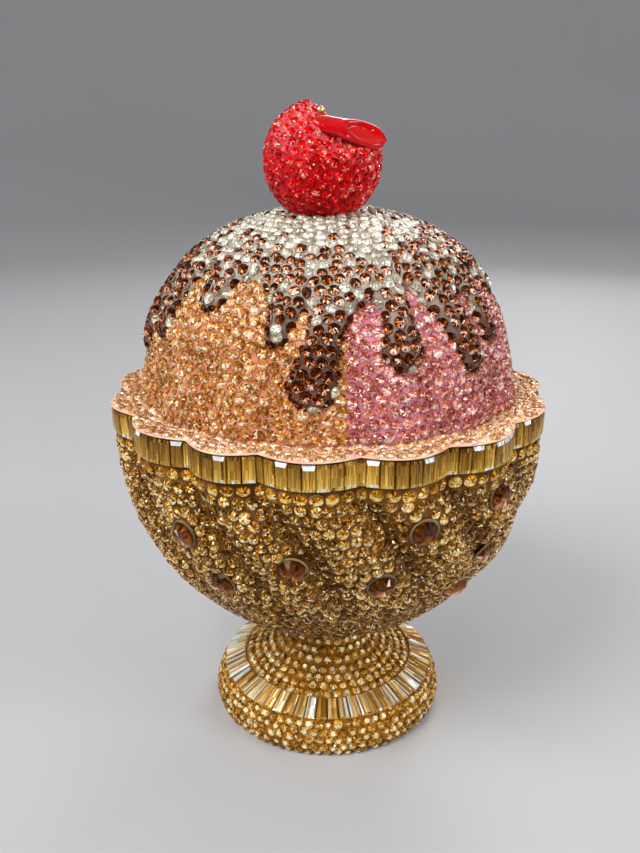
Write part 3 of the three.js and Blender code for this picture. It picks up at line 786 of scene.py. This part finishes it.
# %% [markdown]
# ## Setting the stones
# `paved` fills a field like the people who made it: close rows first, then each stone is moved to
# the middle of the patch that it has to cover, over and over. The stones end up evenly spread, and
# line up along the edges of the field. `set_stones` puts a copy of a stone at each point and gives
# each facet a painted tone: facets that face down get a painted glow, standing in for the light
# from above that leaves there.

# %% Spread points over a skin
luck = np.random.default_rng(11)
ROW_STEP, ROW_JITTER = 0.866, 0.22  # of the pitch
FINE_PITCH = 0.6  # of the places that the stones share out among them
FULL_GAP = 2.98  # between stones of full size
STONE_LIFT, COLLAR_SINK = 0.22, 0.05


def rows(skin, margin, pitch):
    """Azimuth and distance along the outline of uneven rows. margin is kept at both ends."""
    azimuths, alongs = [], []
    low, high = margin, skin.length - margin
    for along in np.linspace(low, high, round((high - low) / pitch / ROW_STEP) + 1):
        count = max(int(2 * math.pi * float(skin.outline(along)[0]) / pitch), 1)
        azimuths.append((np.arange(count) + luck.random()) * 360 / count)
        alongs.append(np.full(count, along))
    azimuth, along = np.concatenate(azimuths), np.concatenate(alongs)
    shift = luck.normal(0, ROW_JITTER * pitch, (2, len(azimuth)))
    reach = np.radians(1) * np.maximum(skin.outline(along)[0], 1)
    return azimuth + shift[0] / reach, along + shift[1]


def tree_of(points):
    tree = KDTree(len(points))
    for i, point in enumerate(points):
        tree.insert(point, i)
    tree.balance()
    return tree


def paved(skin, inside, pitch, out=0.0, rounds=9):
    """Fills the part of a skin where inside(points) holds. Gives places and sizes of the stones."""
    def field(margin, spacing):
        azimuth, along = rows(skin, margin, spacing)
        keep = inside(skin.at(azimuth, along))
        return skin.at(azimuth[keep], along[keep], out)

    stones, places = field(pitch / 2, pitch), field(0, FINE_PITCH)
    for _ in range(rounds):
        tree = tree_of(stones)
        owner = np.array([tree.find(place)[1] for place in places])
        size = np.bincount(owner, minlength=len(stones))
        total = np.stack([np.bincount(owner, places[:, k], len(stones)) for k in range(3)], 1)
        azimuth, along = skin.find(total[size > 0] / size[size > 0, None])
        stones = skin.at(azimuth, along, out)
    tree = tree_of(stones)
    gap = np.array([np.mean([near[2] for near in tree.find_n(stone, 6)[1:]]) for stone in stones])
    return stones, np.clip(gap / FULL_GAP, 0.8, 1.06) * luck.uniform(0.97, 1.02, len(stones))


# %% Copy a stone to every point
def tones(down, on_table, mood=0.0, lean=0.2, spread=0.1, dark=0.08, glints=0.04, tops=0.0,
          tables=0.0, streaks=0.0):
    """A painted tone for each facet of each copy: 0 is dark, 1 a painted flash. down tells how far a
    facet faces down; facets that face down are painted brighter, a painted glow. A whole stone can be
    shifted too, by painted shade, a painted glare or plain tone. glints, tops, tables and streaks are
    the shares of facets, top bevels, tables and strips that are painted as flashes, that is painted
    glints and painted reflections."""
    shape = down.shape
    # A painted glow on the facets that face down, and painted shade, painted glare or plain tone on whole
    # stones
    tone = 0.5 + lean * down + luck.normal(0, spread, shape) + luck.normal(0, 0.1, (shape[0], 1))
    tone += np.broadcast_to(mood, shape[0])[:, None]
    tone = np.clip(tone, 0.02, 0.9)
    tone[luck.random(shape) < dark] = 0.04
    # Painted glints, and painted flashes on top bevels, tables and strips, stand in for reflections
    tone[luck.random(shape) < glints * (0.35 + np.maximum(down, 0) * 1.3)] = 1.1
    tone[(luck.random((shape[0], 1)) < tops) & (down < -0.9)] = 1.4
    tone[(luck.random((shape[0], 1)) < tables) & on_table] = 0.9
    tone[(luck.random(shape) < streaks) & (np.abs(down) < 0.5)] = 1.1
    return tone


def set_stones(name, cut, points, outs, material, slot, sizes=1.0, tilt=0.08, ups=None, spins=None,
               squash=(1, 1, 1), replaces=(), **looks):
    """Joins copies of a cut stone into one piece. points and outs say where they sit and face."""
    local, faces, facets = cut
    local = local * np.array(squash)
    count = len(points)
    spins = luck.uniform(0, 2 * math.pi, count) if spins is None else np.full(count, float(spins))
    outs = unit(outs + luck.normal(0, tilt, (count, 3)))
    sizes = np.broadcast_to(sizes, count)
    ups = np.tile([0.0, 0.0, 1.0], (count, 1)) if ups is None else ups
    ups = unit(ups - (ups * outs).sum(1)[:, None] * outs)
    sides = np.cross(ups, outs)
    cos, sin = np.cos(spins)[:, None], np.sin(spins)[:, None]
    x = local[:, 0] * cos - local[:, 1] * sin
    y = local[:, 0] * sin + local[:, 1] * cos
    height = 0.5 + 0.5 * y / np.abs(local[:, 1]).max()
    spread_out = x[..., None] * sides[:, None] + y[..., None] * ups[:, None]
    spread_out = spread_out + local[:, 2][:, None] * outs[:, None]
    placed = points[:, None] + spread_out * sizes[:, None, None]
    mesh = bpy.data.meshes.new(name)
    index = (faces[None] + (np.arange(count) * len(local))[:, None, None]).reshape(-1, faces.shape[1])
    mesh.from_pydata((placed.reshape(-1, 3) * MM).tolist(), [], index.tolist())
    centres = np.array([local[faces[facets == facet]].mean((0, 1)) for facet in range(facets.max() + 1)])
    directions = np.arctan2(centres[:, 1], centres[:, 0])
    down = -np.sin(directions + spins[:, None]) * (radius_of(centres) > 0.05)
    on_table = centres[:, 2] > local[:, 2].max() - 1e-4
    tone = tones(down, on_table, **looks)[:, facets]
    stone = np.repeat(luck.random(count), len(faces))
    paint = np.repeat(np.stack([tone.ravel(), stone, 0 * stone, 0 * stone + 1], 1), faces.shape[1], axis=0)
    paint[:, 2] = height[:, faces].ravel()
    layer = mesh.color_attributes.new("facet", "FLOAT_COLOR", "CORNER")
    layer.data.foreach_set("color", paint.ravel())
    flat = np.tile(local[faces.ravel(), :2], (count, 1))
    mesh.uv_layers.new(name="cut").data.foreach_set("uv", flat.ravel())
    piece = bpy.data.objects.new(name, mesh)
    bpy.context.scene.collection.objects.link(piece)
    finished(piece, material, replaces)
    piece.data.polygons.foreach_set("use_smooth", np.zeros(len(index), bool))


# %% Collars of resin round the stones
def cut_collar(sides, inner, outer, height):
    place = (0, 0, height / 2 * MM)
    collar = made_by(bpy.ops.mesh.primitive_cone_add, location=place, vertices=sides,
                     radius1=outer * MM, radius2=inner * MM, depth=height * MM)
    bpy.ops.object.transform_apply(location=True, rotation=False, scale=False)
    return taken(collar)


def set_in_collars(kind, cuts, points, outs, materials, sizes=1.0, lift=STONE_LIFT,
                   sink=COLLAR_SINK, ups=None, **looks):
    """Sets stones, and round each of them a collar. lift and sink are how far the stones lie
    above the points and the collars below them."""
    slot, (stone, collar), (glass_paint, paste) = f"{kind}s", cuts, materials
    set_stones(slot, stone, points + lift * outs, outs, glass_paint, slot, sizes, ups=ups, **looks)
    set_stones(f"{kind}_collars", collar, points - sink * outs, outs, paste, slot, sizes, ups=ups)


COLLAR = cut_collar(10, 1.53, 1.62, 0.26)
ROUND_CUTS = ROUND, COLLAR
print("collar:", len(COLLAR[1]), "faces")

# %% [markdown]
# ## Paving the cup
# The cup's stones leave room for the large single stones on its ridges, so those are placed first.

# %% Large stones on the ridges
GEM_GROUP = ((-38, 78.9), (-30, 65.1), (-8.9, 74.1), (13.3, 68.3),
             (22.3, 83.9), (45.3, 87.6), (48.2, 68.2), (40.6, 59.7))
GEM_ROOM = 4.25  # radius that the small stones leave free
gem_azimuth = np.array([azimuth + 120 * turn for turn in range(3) for azimuth, _ in GEM_GROUP])
gem_z = np.array([z for _, z in GEM_GROUP] * 3)
gem_along = np.interp(gem_z, cup_skin.z, cup_skin.s)
gem_seats = cup_skin.at(gem_azimuth, gem_along)
gem_outs = Skin(CUP_CORNERS).normal(gem_azimuth, gem_along)
GEM_CUTS = cut_stone(12, 3.8, 2.3, 1.5), cut_collar(24, 3.82, 3.98, 0.5)
set_in_collars("cup_gem", GEM_CUTS, gem_seats, gem_outs, (GEM_GLASS, GEM_COLLAR_RESIN),
               lift=-0.35, sink=0.8, lean=0.16, spread=0.07, dark=0.03, glints=0.05,
               replaces=[f"cup_gem_{i + 1:02d}" for i in range(len(gem_seats))])

# %% Small stones of the cup
CUP_PITCH = 3.2
SHADE_LOW_Z, SHADE_HIGH_Z = 34, 68  # the cup's own shade covers its lower stones


def clear_of_gems(points):
    return np.linalg.norm(points[:, None] - gem_seats[None], axis=2).min(1) > GEM_ROOM


cup_points, sizes = paved(cup_skin, clear_of_gems, CUP_PITCH, -RESIN_DEPTH)
cup_outs = cup_skin.outwards(cup_points)
# Painted shade: stones in the swirl's valleys, and those low on the cup in its own shade, are painted darker
in_valley = swirl(azimuth_of(cup_points), cup_points[:, 2]) / SWIRL_DEPTH
in_shade = 1 - rise(cup_points[:, 2], SHADE_LOW_Z, SHADE_HIGH_Z)
mood = 0.08 - 0.36 * rise(in_valley, 0.1, 0.8) - 0.34 * in_shade
set_in_collars("cup_stone", ROUND_CUTS, cup_points, cup_outs, (CUP_GLASS, CUP_COLLAR_RESIN), sizes,
               lean=0.12, spread=0.15, dark=0.1, glints=0.07, mood=mood)
print("cup stones:", len(cup_points))

# %% [markdown]
# ## Paving the ice cream and the sauce
# Three fields meet on the dome, and each is paved on its own. The stones of the ice cream keep off
# the sauce, and those of the sauce reach a little over the edge of its resin. Clear stones crowd
# round the cherry like sugar, and give way to brown ones further out.

# %% Sides of the dome
def flavour_side(points):
    """Distance from the plane between the flavours, positive on the orange side."""
    return -points[:, 0] * math.cos(split) - points[:, 1] * math.sin(split)


# %% Stones of the ice cream
DOME_PITCH = 3.12
SPLIT_GAP, SAUCE_GAP = 0.05, 0.1
for name, side, materials in FLAVOURS:
    def in_flavour(points, side=side):
        return (flavour_side(points) * side > SPLIT_GAP) & (sauce_depth(points) < -SAUCE_GAP)

    spots, sizes = paved(dome_skin, in_flavour, DOME_PITCH, -RESIN_DEPTH)
    outs = dome_skin.outwards(spots)
    # Painted shade: stones in the flutes are painted a little darker
    mood = 0.04 - 0.1 * flute(azimuth_of(spots), spots[:, 2])
    set_in_collars(f"{name}_stone", ROUND_CUTS, spots, outs, materials, sizes,
                   lean=0.12, spread=0.1, dark=0.1, glints=0.05, mood=mood)

# %% Stones of the sauce
CHERRY_CENTRE = np.array([-1.8, -7.5, 167.9])
CHERRY_ROOM = 16.3  # radius that the stones of the sauce leave free
SAUCE_PITCH = 2.92
SAUCE_REACH = 0.7  # of the stones past the edge of the sauce
SUGAR_NEAR, SUGAR_FAR = 16, 40  # from the cherry's middle: there the clear stones grow fewer


def in_sauce(points):
    clear_of_cherry = np.linalg.norm(points - CHERRY_CENTRE, axis=1) > CHERRY_ROOM
    return (sauce_depth(points) > -SAUCE_REACH) & clear_of_cherry


spots, sizes = paved(dome_skin, in_sauce, SAUCE_PITCH, sauce_lift)
outs = dome_skin.outwards(spots, sauce_lift)
from_cherry = np.hypot(spots[:, 0] - CHERRY_CENTRE[0], spots[:, 1] - CHERRY_CENTRE[1])
clear_share = 0.08 + 0.84 * (1 - rise(from_cherry, SUGAR_NEAR, SUGAR_FAR))
clear = luck.random(len(spots)) < clear_share
for name, kind, cut_glass, settings in (
        ("brown", ~clear, BROWN_GLASS, {"lean": 0.22, "spread": 0.12, "dark": 0.2, "glints": 0.02}),
        ("clear", clear, CLEAR_GLASS, {"lean": 0.1, "spread": 0.16, "dark": 0.08, "glints": 0.1})):
    set_stones(f"sauce_{name}_stones", ROUND, spots[kind] + STONE_LIFT * outs[kind], outs[kind],
               cut_glass, "sauce_stones", sizes[kind], **settings)
set_stones("sauce_stone_collars", COLLAR, spots - COLLAR_SINK * outs, outs, SAUCE_RESIN,
           "sauce_stones", sizes)

# %% Stones of the plate
PLATE_PITCH = 2.75
PLATE_STONE_REACH, PLATE_LIP = 1.5, 0.6  # radius of the largest stone, and the bare rim outside it
UNDER_DOME, PLATE_EDGE_ROOM = 1.0, 0.8
plate_skin = Skin([(50, PLATE_BED_Z), (64, PLATE_BED_Z)], straight=True)
plate_skin.out_r, plate_skin.out_z = 0 * plate_skin.s, 0 * plate_skin.s + 1


def on_plate(points):
    azimuth = azimuth_of(points)
    radius = radius_of(points)
    dome_foot = DOME_BASE_RADIUS - flute(azimuth, np.full(len(azimuth), DOME_BASE_Z))
    return (radius > dome_foot - UNDER_DOME) & (radius < rim_radius(azimuth) - PLATE_EDGE_ROOM)


spots, sizes = paved(plate_skin, on_plate, PLATE_PITCH)
azimuth = azimuth_of(spots)
furthest = rim_radius(azimuth) - PLATE_LIP - PLATE_STONE_REACH * sizes
spots[:, :2] *= np.minimum(furthest / radius_of(spots), 1)[:, None]
outs = np.tile([0.0, 0.0, 1.0], (len(spots), 1))
ups = polar(azimuth_of(spots), -1, 0)
set_in_collars("plate_stone", ROUND_CUTS, spots, outs, (PLATE_GLASS, PLATE_RESIN), sizes,
               lift=0.06, sink=0.14, ups=ups, lean=0.1, spread=0.14, dark=0.05, glints=0.06,
               squash=(1, 1, 0.9))

# %% [markdown]
# ## Belt and bead row
# A baguette is a bar of glass with a sloping edge all round. Its face is split lengthwise, because
# each strip mirrors another part of the bar's back.


# %% Baguette
def cut_baguette(width, height, thick, bevel, end_bevel, drop, strips):
    """A bar that stands along y and faces +z, with its back at z = 0."""
    bar = made_by(bpy.ops.mesh.primitive_cube_add, size=MM)
    bpy.ops.transform.resize(value=(width, height, thick))
    bpy.ops.object.transform_apply(location=False, rotation=False, scale=True)
    edit_some("FACE", bar.data.polygons, lambda face: face.normal.z > 0.5)
    bpy.ops.mesh.inset(thickness=bevel * MM, depth=0)
    bpy.ops.transform.resize(value=(1, 1 - 2 * (end_bevel - bevel) / (height - 2 * bevel), 1))
    mode("OBJECT")
    for vertex in bar.data.vertices:
        if vertex.co.z > 0 and abs(vertex.co.x) >= width / 2 * MM - 1e-6:
            vertex.co.z = (thick / 2 - drop) * MM
    mode("EDIT")
    for i in range(1, strips):
        x = (i / strips - 0.5) * (width - 2 * bevel) * MM
        bpy.ops.mesh.select_all(action="SELECT")
        bpy.ops.mesh.bisect(plane_co=(x, 0, 0), plane_no=(1, 0, 0))
    bpy.ops.mesh.select_all(action="SELECT")
    bpy.ops.transform.translate(value=(0, 0, thick / 2 * MM))
    mode("OBJECT")
    return taken(bar)


BELT_BAR = cut_baguette(3.12, 6.7, 1.5, 0.32, 1.0, 0.3, 4)
print("baguette:", len(BELT_BAR[1]), "faces")


# %% Stones that stand along the rim
def evenly_round(count):
    return NOTCHES[0] + 360 * (2 * np.arange(count) + 1) / (2 * count)


def rim_places(count, inset, z):
    """Places and outward directions of things spaced evenly along the scalloped rim."""
    azimuth = evenly_round(count)
    spot = polar(azimuth, rim_radius(azimuth) - inset, z)
    before, after = (polar(azimuth + turn, rim_radius(azimuth + turn), z) for turn in (-0.4, 0.4))
    return spot, unit(np.cross(after - before, [0, 0, 1]))


BELT_BARS, BELT_INSET, BELT_Z = 124, 2.2, 100.35
BELT_LOW_Z, BELT_HIGH_Z = 97.05, 104.15
spots, outs = rim_places(BELT_BARS, BELT_INSET, BELT_Z)
# A share of the top bevels is painted as a flash, a painted reflection
set_stones("rim_baguettes_set", BELT_BAR, spots, outs, BAGUETTE_GLASS, "rim_baguettes", spins=0.0,
           lean=0.12, spread=0.08, dark=0.03, glints=0.0, tops=0.3, tilt=0.03)
WALL = RIM_LOBE - 1.6  # radius of the wall behind the bars
wall = [(0, BELT_LOW_Z), (WALL, BELT_LOW_Z), (WALL, BELT_HIGH_Z), (0, BELT_HIGH_Z)]
belt_wall = pushed_in(turned_body("belt_setting", wall, 480), scallop)
finished(belt_wall, SETTING_RESIN, ["rim_baguettes"], 50)

BEADS, BEAD_INSET, BEAD_Z = 104, 2.4, 94.5
BEAD_TILT = 0.15  # how much the beads look down
BEAD_CUTS = cut_stone(12, 1.85, 0.95, 0.7), cut_collar(12, 1.88, 1.98, 0.45)
spots, outs = rim_places(BEADS, BEAD_INSET, BEAD_Z)
tilted = unit(outs - np.array([0, 0, BEAD_TILT]))
set_in_collars("rim_bead", BEAD_CUTS, spots, tilted, (BEAD_GLASS, CUP_COLLAR_RESIN),
               lift=0.35, sink=0, lean=0.22, spread=0.14, dark=0.08, glints=0.06, mood=0.16,
               replaces=["rim_bead_row"])

# %% [markdown]
# ## The foot
# Round stones run in rings over the rounded edge and up the cone to the neck. Between the two lies
# a wheel of baguettes.

# %% Wheel of baguettes
FOOT_BARS = 60
GLARE_AZIMUTH, GLARE_REACH = 256, 14  # bars painted brighter, a painted reflection of a lamp
WHEEL_RIM, WHEEL_HUB, WHEEL_MIDDLE = (33.2, 11.8), (26.7, 14.7), (29.95, 12.35)  # radius and z
BAR_LENGTH, BAR_TAPER = 7.0, 0.1
FOOT_BAR = cut_baguette(2.8, BAR_LENGTH, 1.1, 0.35, 0.5, 0.2, 3)
FOOT_BAR[0][:, 0] *= 1 - BAR_TAPER * FOOT_BAR[0][:, 1] / (BAR_LENGTH / 2)
azimuth = evenly_round(FOOT_BARS)
slope = np.subtract(WHEEL_RIM, WHEEL_HUB)
slope /= np.linalg.norm(slope)
outs = polar(azimuth, -slope[1], slope[0])
ups = polar(azimuth, -slope[0], -slope[1])
in_glare = np.abs(azimuth % 360 - GLARE_AZIMUTH) < GLARE_REACH
# Painted glare: the bars in the glare are painted brighter, as a painted reflection, and a tenth, at random,
# are brighter in tone; some strips get painted flashes
bar_mood = 0.08 + 0.3 * (luck.random(FOOT_BARS) < 0.1) + 0.5 * in_glare
set_stones("foot_baguettes_set", FOOT_BAR, polar(azimuth, *WHEEL_MIDDLE), outs, FOOT_BAR_GLASS,
           "foot_baguettes", ups=ups, spins=0.0, lean=-0.05, spread=0.15, dark=0.02, glints=0.0,
           streaks=0.12, mood=bar_mood, tilt=0.03, replaces=["foot_baguettes"])

# %% Round stones of the foot
FOOT_PITCH = 2.95
FOOT_STONE = cut_stone(10, 1.55, 0.75, 0.72)
foot_spots, foot_outs = [], []
for skin, alongs in ((foot_skin, (2.4, 4.6, 6.95, 9.35, 11.85)),
                     (cone_skin, (1.1, 3.7, 6.3, 8.9, 12.0, 14.6, 17.2, 19.8))):
    for k, along in enumerate(alongs):
        count = int(2 * math.pi * float(skin.outline(along)[0]) / FOOT_PITCH)
        azimuth = (np.arange(count) + 0.5 * (k % 2)) * 360 / count + luck.normal(0, 0.35, count)
        level = np.full(count, along) + luck.normal(0, 0.12, count)
        foot_spots.append(skin.at(azimuth, level, -RESIN_DEPTH))
        foot_outs.append(skin.normal(azimuth, level))
spots, outs = np.concatenate(foot_spots), np.concatenate(foot_outs)
sizes = luck.uniform(0.88, 1.0, len(spots))
# Half the tables are painted pale, a painted reflection
set_stones("foot_stones", FOOT_STONE, spots + 0.06 * outs, outs, FOOT_GLASS, "foot_stones", sizes,
           lean=0.15, spread=0.1, dark=0.08, glints=0.03, tables=0.5, mood=-0.04, tilt=0.12)

# %% [markdown]
# ## The cherry
# The cherry is a ball with a hollow across its top, where the stem comes out. The stones stand out
# of the red resin, so that the ball looks rough against the light.

# %% Cherry
CHERRY_RADIUS = 16.1
CHERRY_RESIN_RADIUS = CHERRY_RADIUS - 0.9
CHERRY_CUT_Z = 153.6  # of the resin, inside the dome
CHERRY_LOW_Z = 154.4  # of its lowest stones
HOLLOW_X, HOLLOW_REACH, HOLLOW_DEPTH = 4.8, 10.5, 6.2


def hollowed(ball):
    """Moves points of a ball, given from its centre, down into the hollow."""
    off = np.clip((ball[:, 0] - HOLLOW_X) / HOLLOW_REACH, -1, 1)
    sink = HOLLOW_DEPTH * (1 + np.cos(math.pi * off)) / 2 * rise(ball[:, 2], 0, CHERRY_RADIUS / 2)
    return ball - sink[:, None] * np.array([0, 0, 1])


cherry = made_by(bpy.ops.mesh.primitive_uv_sphere_add, "cherry_resin", segments=96, ring_count=64,
                 radius=CHERRY_RESIN_RADIUS * MM)
move_corners(cherry, hollowed(corners(cherry)) + CHERRY_CENTRE)
edit_all()
bpy.ops.mesh.bisect(plane_co=(0, 0, CHERRY_CUT_Z * MM), plane_no=(0, 0, -1), use_fill=True,
                    clear_outer=True)
mode("OBJECT")
finished(cherry, CHERRY_RESIN, ["cherry"], 50)

# %% Stones of the cherry
CHERRY_PITCH = 2.82


def close_pairs(points, reach):
    lengths = (points ** 2).sum(1)
    squares = lengths[:, None] + lengths - 2 * points @ points.T
    return np.nonzero(squares < reach ** 2)


def paved_ball(radius, pitch, rounds=20):
    """Places all over a ball. They start on a spiral and then push each other away."""
    count = int(4 * math.pi * radius ** 2 / (0.84 * pitch ** 2))
    k = np.arange(count) + 0.5
    z = 1 - 2 * k / count
    turn = k * math.pi * (1 + 5 ** 0.5)
    ball = np.stack([np.sqrt(1 - z * z) * np.cos(turn), np.sqrt(1 - z * z) * np.sin(turn), z], 1)
    ball += luck.normal(0, 0.03, ball.shape)
    for _ in range(rounds):
        ball = radius * unit(ball)
        i, j = close_pairs(ball, pitch * 1.02)
        i, j = i[i != j], j[i != j]
        away = ball[i] - ball[j]
        gap = np.linalg.norm(away, axis=1)[:, None] + 1e-6
        np.add.at(ball, i, away / gap * (pitch * 1.02 - gap) * 0.35)
    return radius * unit(ball)


ball = paved_ball(CHERRY_RESIN_RADIUS, CHERRY_PITCH)
tangent = unit(np.cross(ball, [0.3, 0.2, 1.0]))
second = unit(np.cross(ball, tangent))
ways = [hollowed(ball + 0.2 * way) - hollowed(ball - 0.2 * way) for way in (tangent, second)]
outs = unit(np.cross(*ways))
outs *= np.sign((outs * ball).sum(1))[:, None]
spots = hollowed(ball) + CHERRY_CENTRE
shown = spots[:, 2] > CHERRY_LOW_Z
spots, outs = spots[shown], outs[shown]
CHERRY_CUTS = cut_stone(10, 1.42, 0.8, 0.66), cut_collar(10, 1.42, 1.56, 0.42)
sizes = luck.uniform(0.92, 1.02, len(spots))
# A few tables are painted pale, a painted reflection
set_in_collars("cherry_stone", CHERRY_CUTS, spots, outs, (RED_GLASS, CHERRY_RESIN), sizes,
               lift=-0.1, sink=0.35, lean=0.1, spread=0.1, dark=0.08, glints=0.03,
               tables=0.06, mood=0.05, tilt=0.12)

# %% Stem
STEM_SIDES, STEM_STEPS = 56, 64
START, BEND, END = np.array([(-2.0, -9.2, 9.4), (5.2, -11, 8.4), (15.6, -6.2, 4.9)])
STEM_HALF_WIDTH, STEM_FLARE, STEM_HALF_HEIGHT = 2.6, 1.1, 1.35
STEM_ROUND_END = 0.18  # share of the stem that its rounded end takes
DISH_MIDDLE, DISH_LONG, DISH_WIDE = 0.7, 0.27, 0.8  # along the stem and across it, as shares
DISH_DEPTH, DISH_LIP = 1.1, 0.3
stem = made_by(bpy.ops.mesh.primitive_circle_add, "cherry_stem_enamel", vertices=STEM_SIDES,
               radius=MM, fill_type="NGON")
mode("EDIT")
for _ in range(STEM_STEPS):
    bpy.ops.mesh.extrude_region_move(TRANSFORM_OT_translate={"value": (0, 0, MM)})
for _ in range(3):
    bpy.ops.mesh.inset(thickness=0.24 * MM, depth=0)
bpy.ops.mesh.select_mode(type="VERT")
bpy.ops.mesh.select_all(action="SELECT")
bpy.ops.mesh.normals_make_consistent(inside=False)
mode("OBJECT")
flat_stem = corners(stem)
t = np.clip(flat_stem[:, 2:3] / STEM_STEPS, 0, 1)
centre = (1 - t) ** 2 * START + 2 * t * (1 - t) * BEND + t * t * END
tangent = 2 * (1 - t) * (BEND - START) + 2 * t * (END - BEND)
out = unit(centre)
across = unit(np.cross(unit(tangent), out))
sideways, outwards = flat_stem[:, 0:1], flat_stem[:, 1:2]
into_end = np.maximum(t - (1 - STEM_ROUND_END), 0) / STEM_ROUND_END
rounding = np.sqrt(1 - (0.95 * into_end) ** 2)
half_width = STEM_HALF_WIDTH + STEM_FLARE * rise(t, 0.25, 0.75)
half_width = half_width * rounding * (0.45 + 0.55 * rise(t, -0.1, 0.2))
half_height = STEM_HALF_HEIGHT * np.maximum(rounding, 0.35)
from_dish = np.hypot((t - DISH_MIDDLE) / DISH_LONG, sideways / DISH_WIDE)
lip = DISH_LIP * np.exp(-((from_dish - 1.1) / 0.16) ** 2)
dish = DISH_DEPTH * (1 - rise(from_dish, 0.55, 0.95)) - lip
lifted = half_height * outwards - dish * (outwards > 0) * np.sqrt(np.clip(outwards, 0, 1))
points = centre + across * half_width * sideways + out * lifted
move_corners(stem, points + CHERRY_CENTRE)
ENAMEL = clouded("stem_enamel", srgb("a40006"), srgb("cc0408"), 160.0, 3.0, (0.1, 0.1), IOR=1.45,
                 Coat_Weight=0.6, Coat_Roughness=0.03, Specular_Tint=srgb("d02020"))
finished(stem, ENAMEL, ["cherry_stem"])

# %% Gilt bead
GILT = clouded("gilt", srgb("d8b060"), srgb("f4dea0"), 900.0, 4.0, (0.15, 0.25), Metallic=1.0)
BEAD_RADIUS = 1.1
BEAD_PLACE = np.array([-0.6, -5.5, 12.3])  # from the middle of the cherry
bead = made_by(bpy.ops.mesh.primitive_uv_sphere_add, "stem_tip_bead", segments=32, ring_count=20,
               radius=BEAD_RADIUS * MM)
move_corners(bead, corners(bead) + CHERRY_CENTRE + BEAD_PLACE)
finished(bead, GILT, ["stem_tip"])

# %% Floor material, sizes and the end
STUDIO = [(0.01, 0), (600, 0), (1000, 0), (1250, 30), (1450, 120), (1600, 270), (1680, 480),
          (1700, 800), (1700, 2000)]
floor = turned_body("floor", STUDIO, 96)
bpy.ops.object.shade_smooth()
floor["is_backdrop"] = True
FLOOR = clouded("floor", (0.47, 0.47, 0.48, 1), (0.5, 0.5, 0.51, 1), 3.0, 2.0, Roughness=0.6)
floor.data.materials.append(FLOOR)

visual_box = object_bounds()
sizes = {"cad": [list(c) for c in cad_box], "visual": [list(c) for c in visual_box]}
print(sizes)
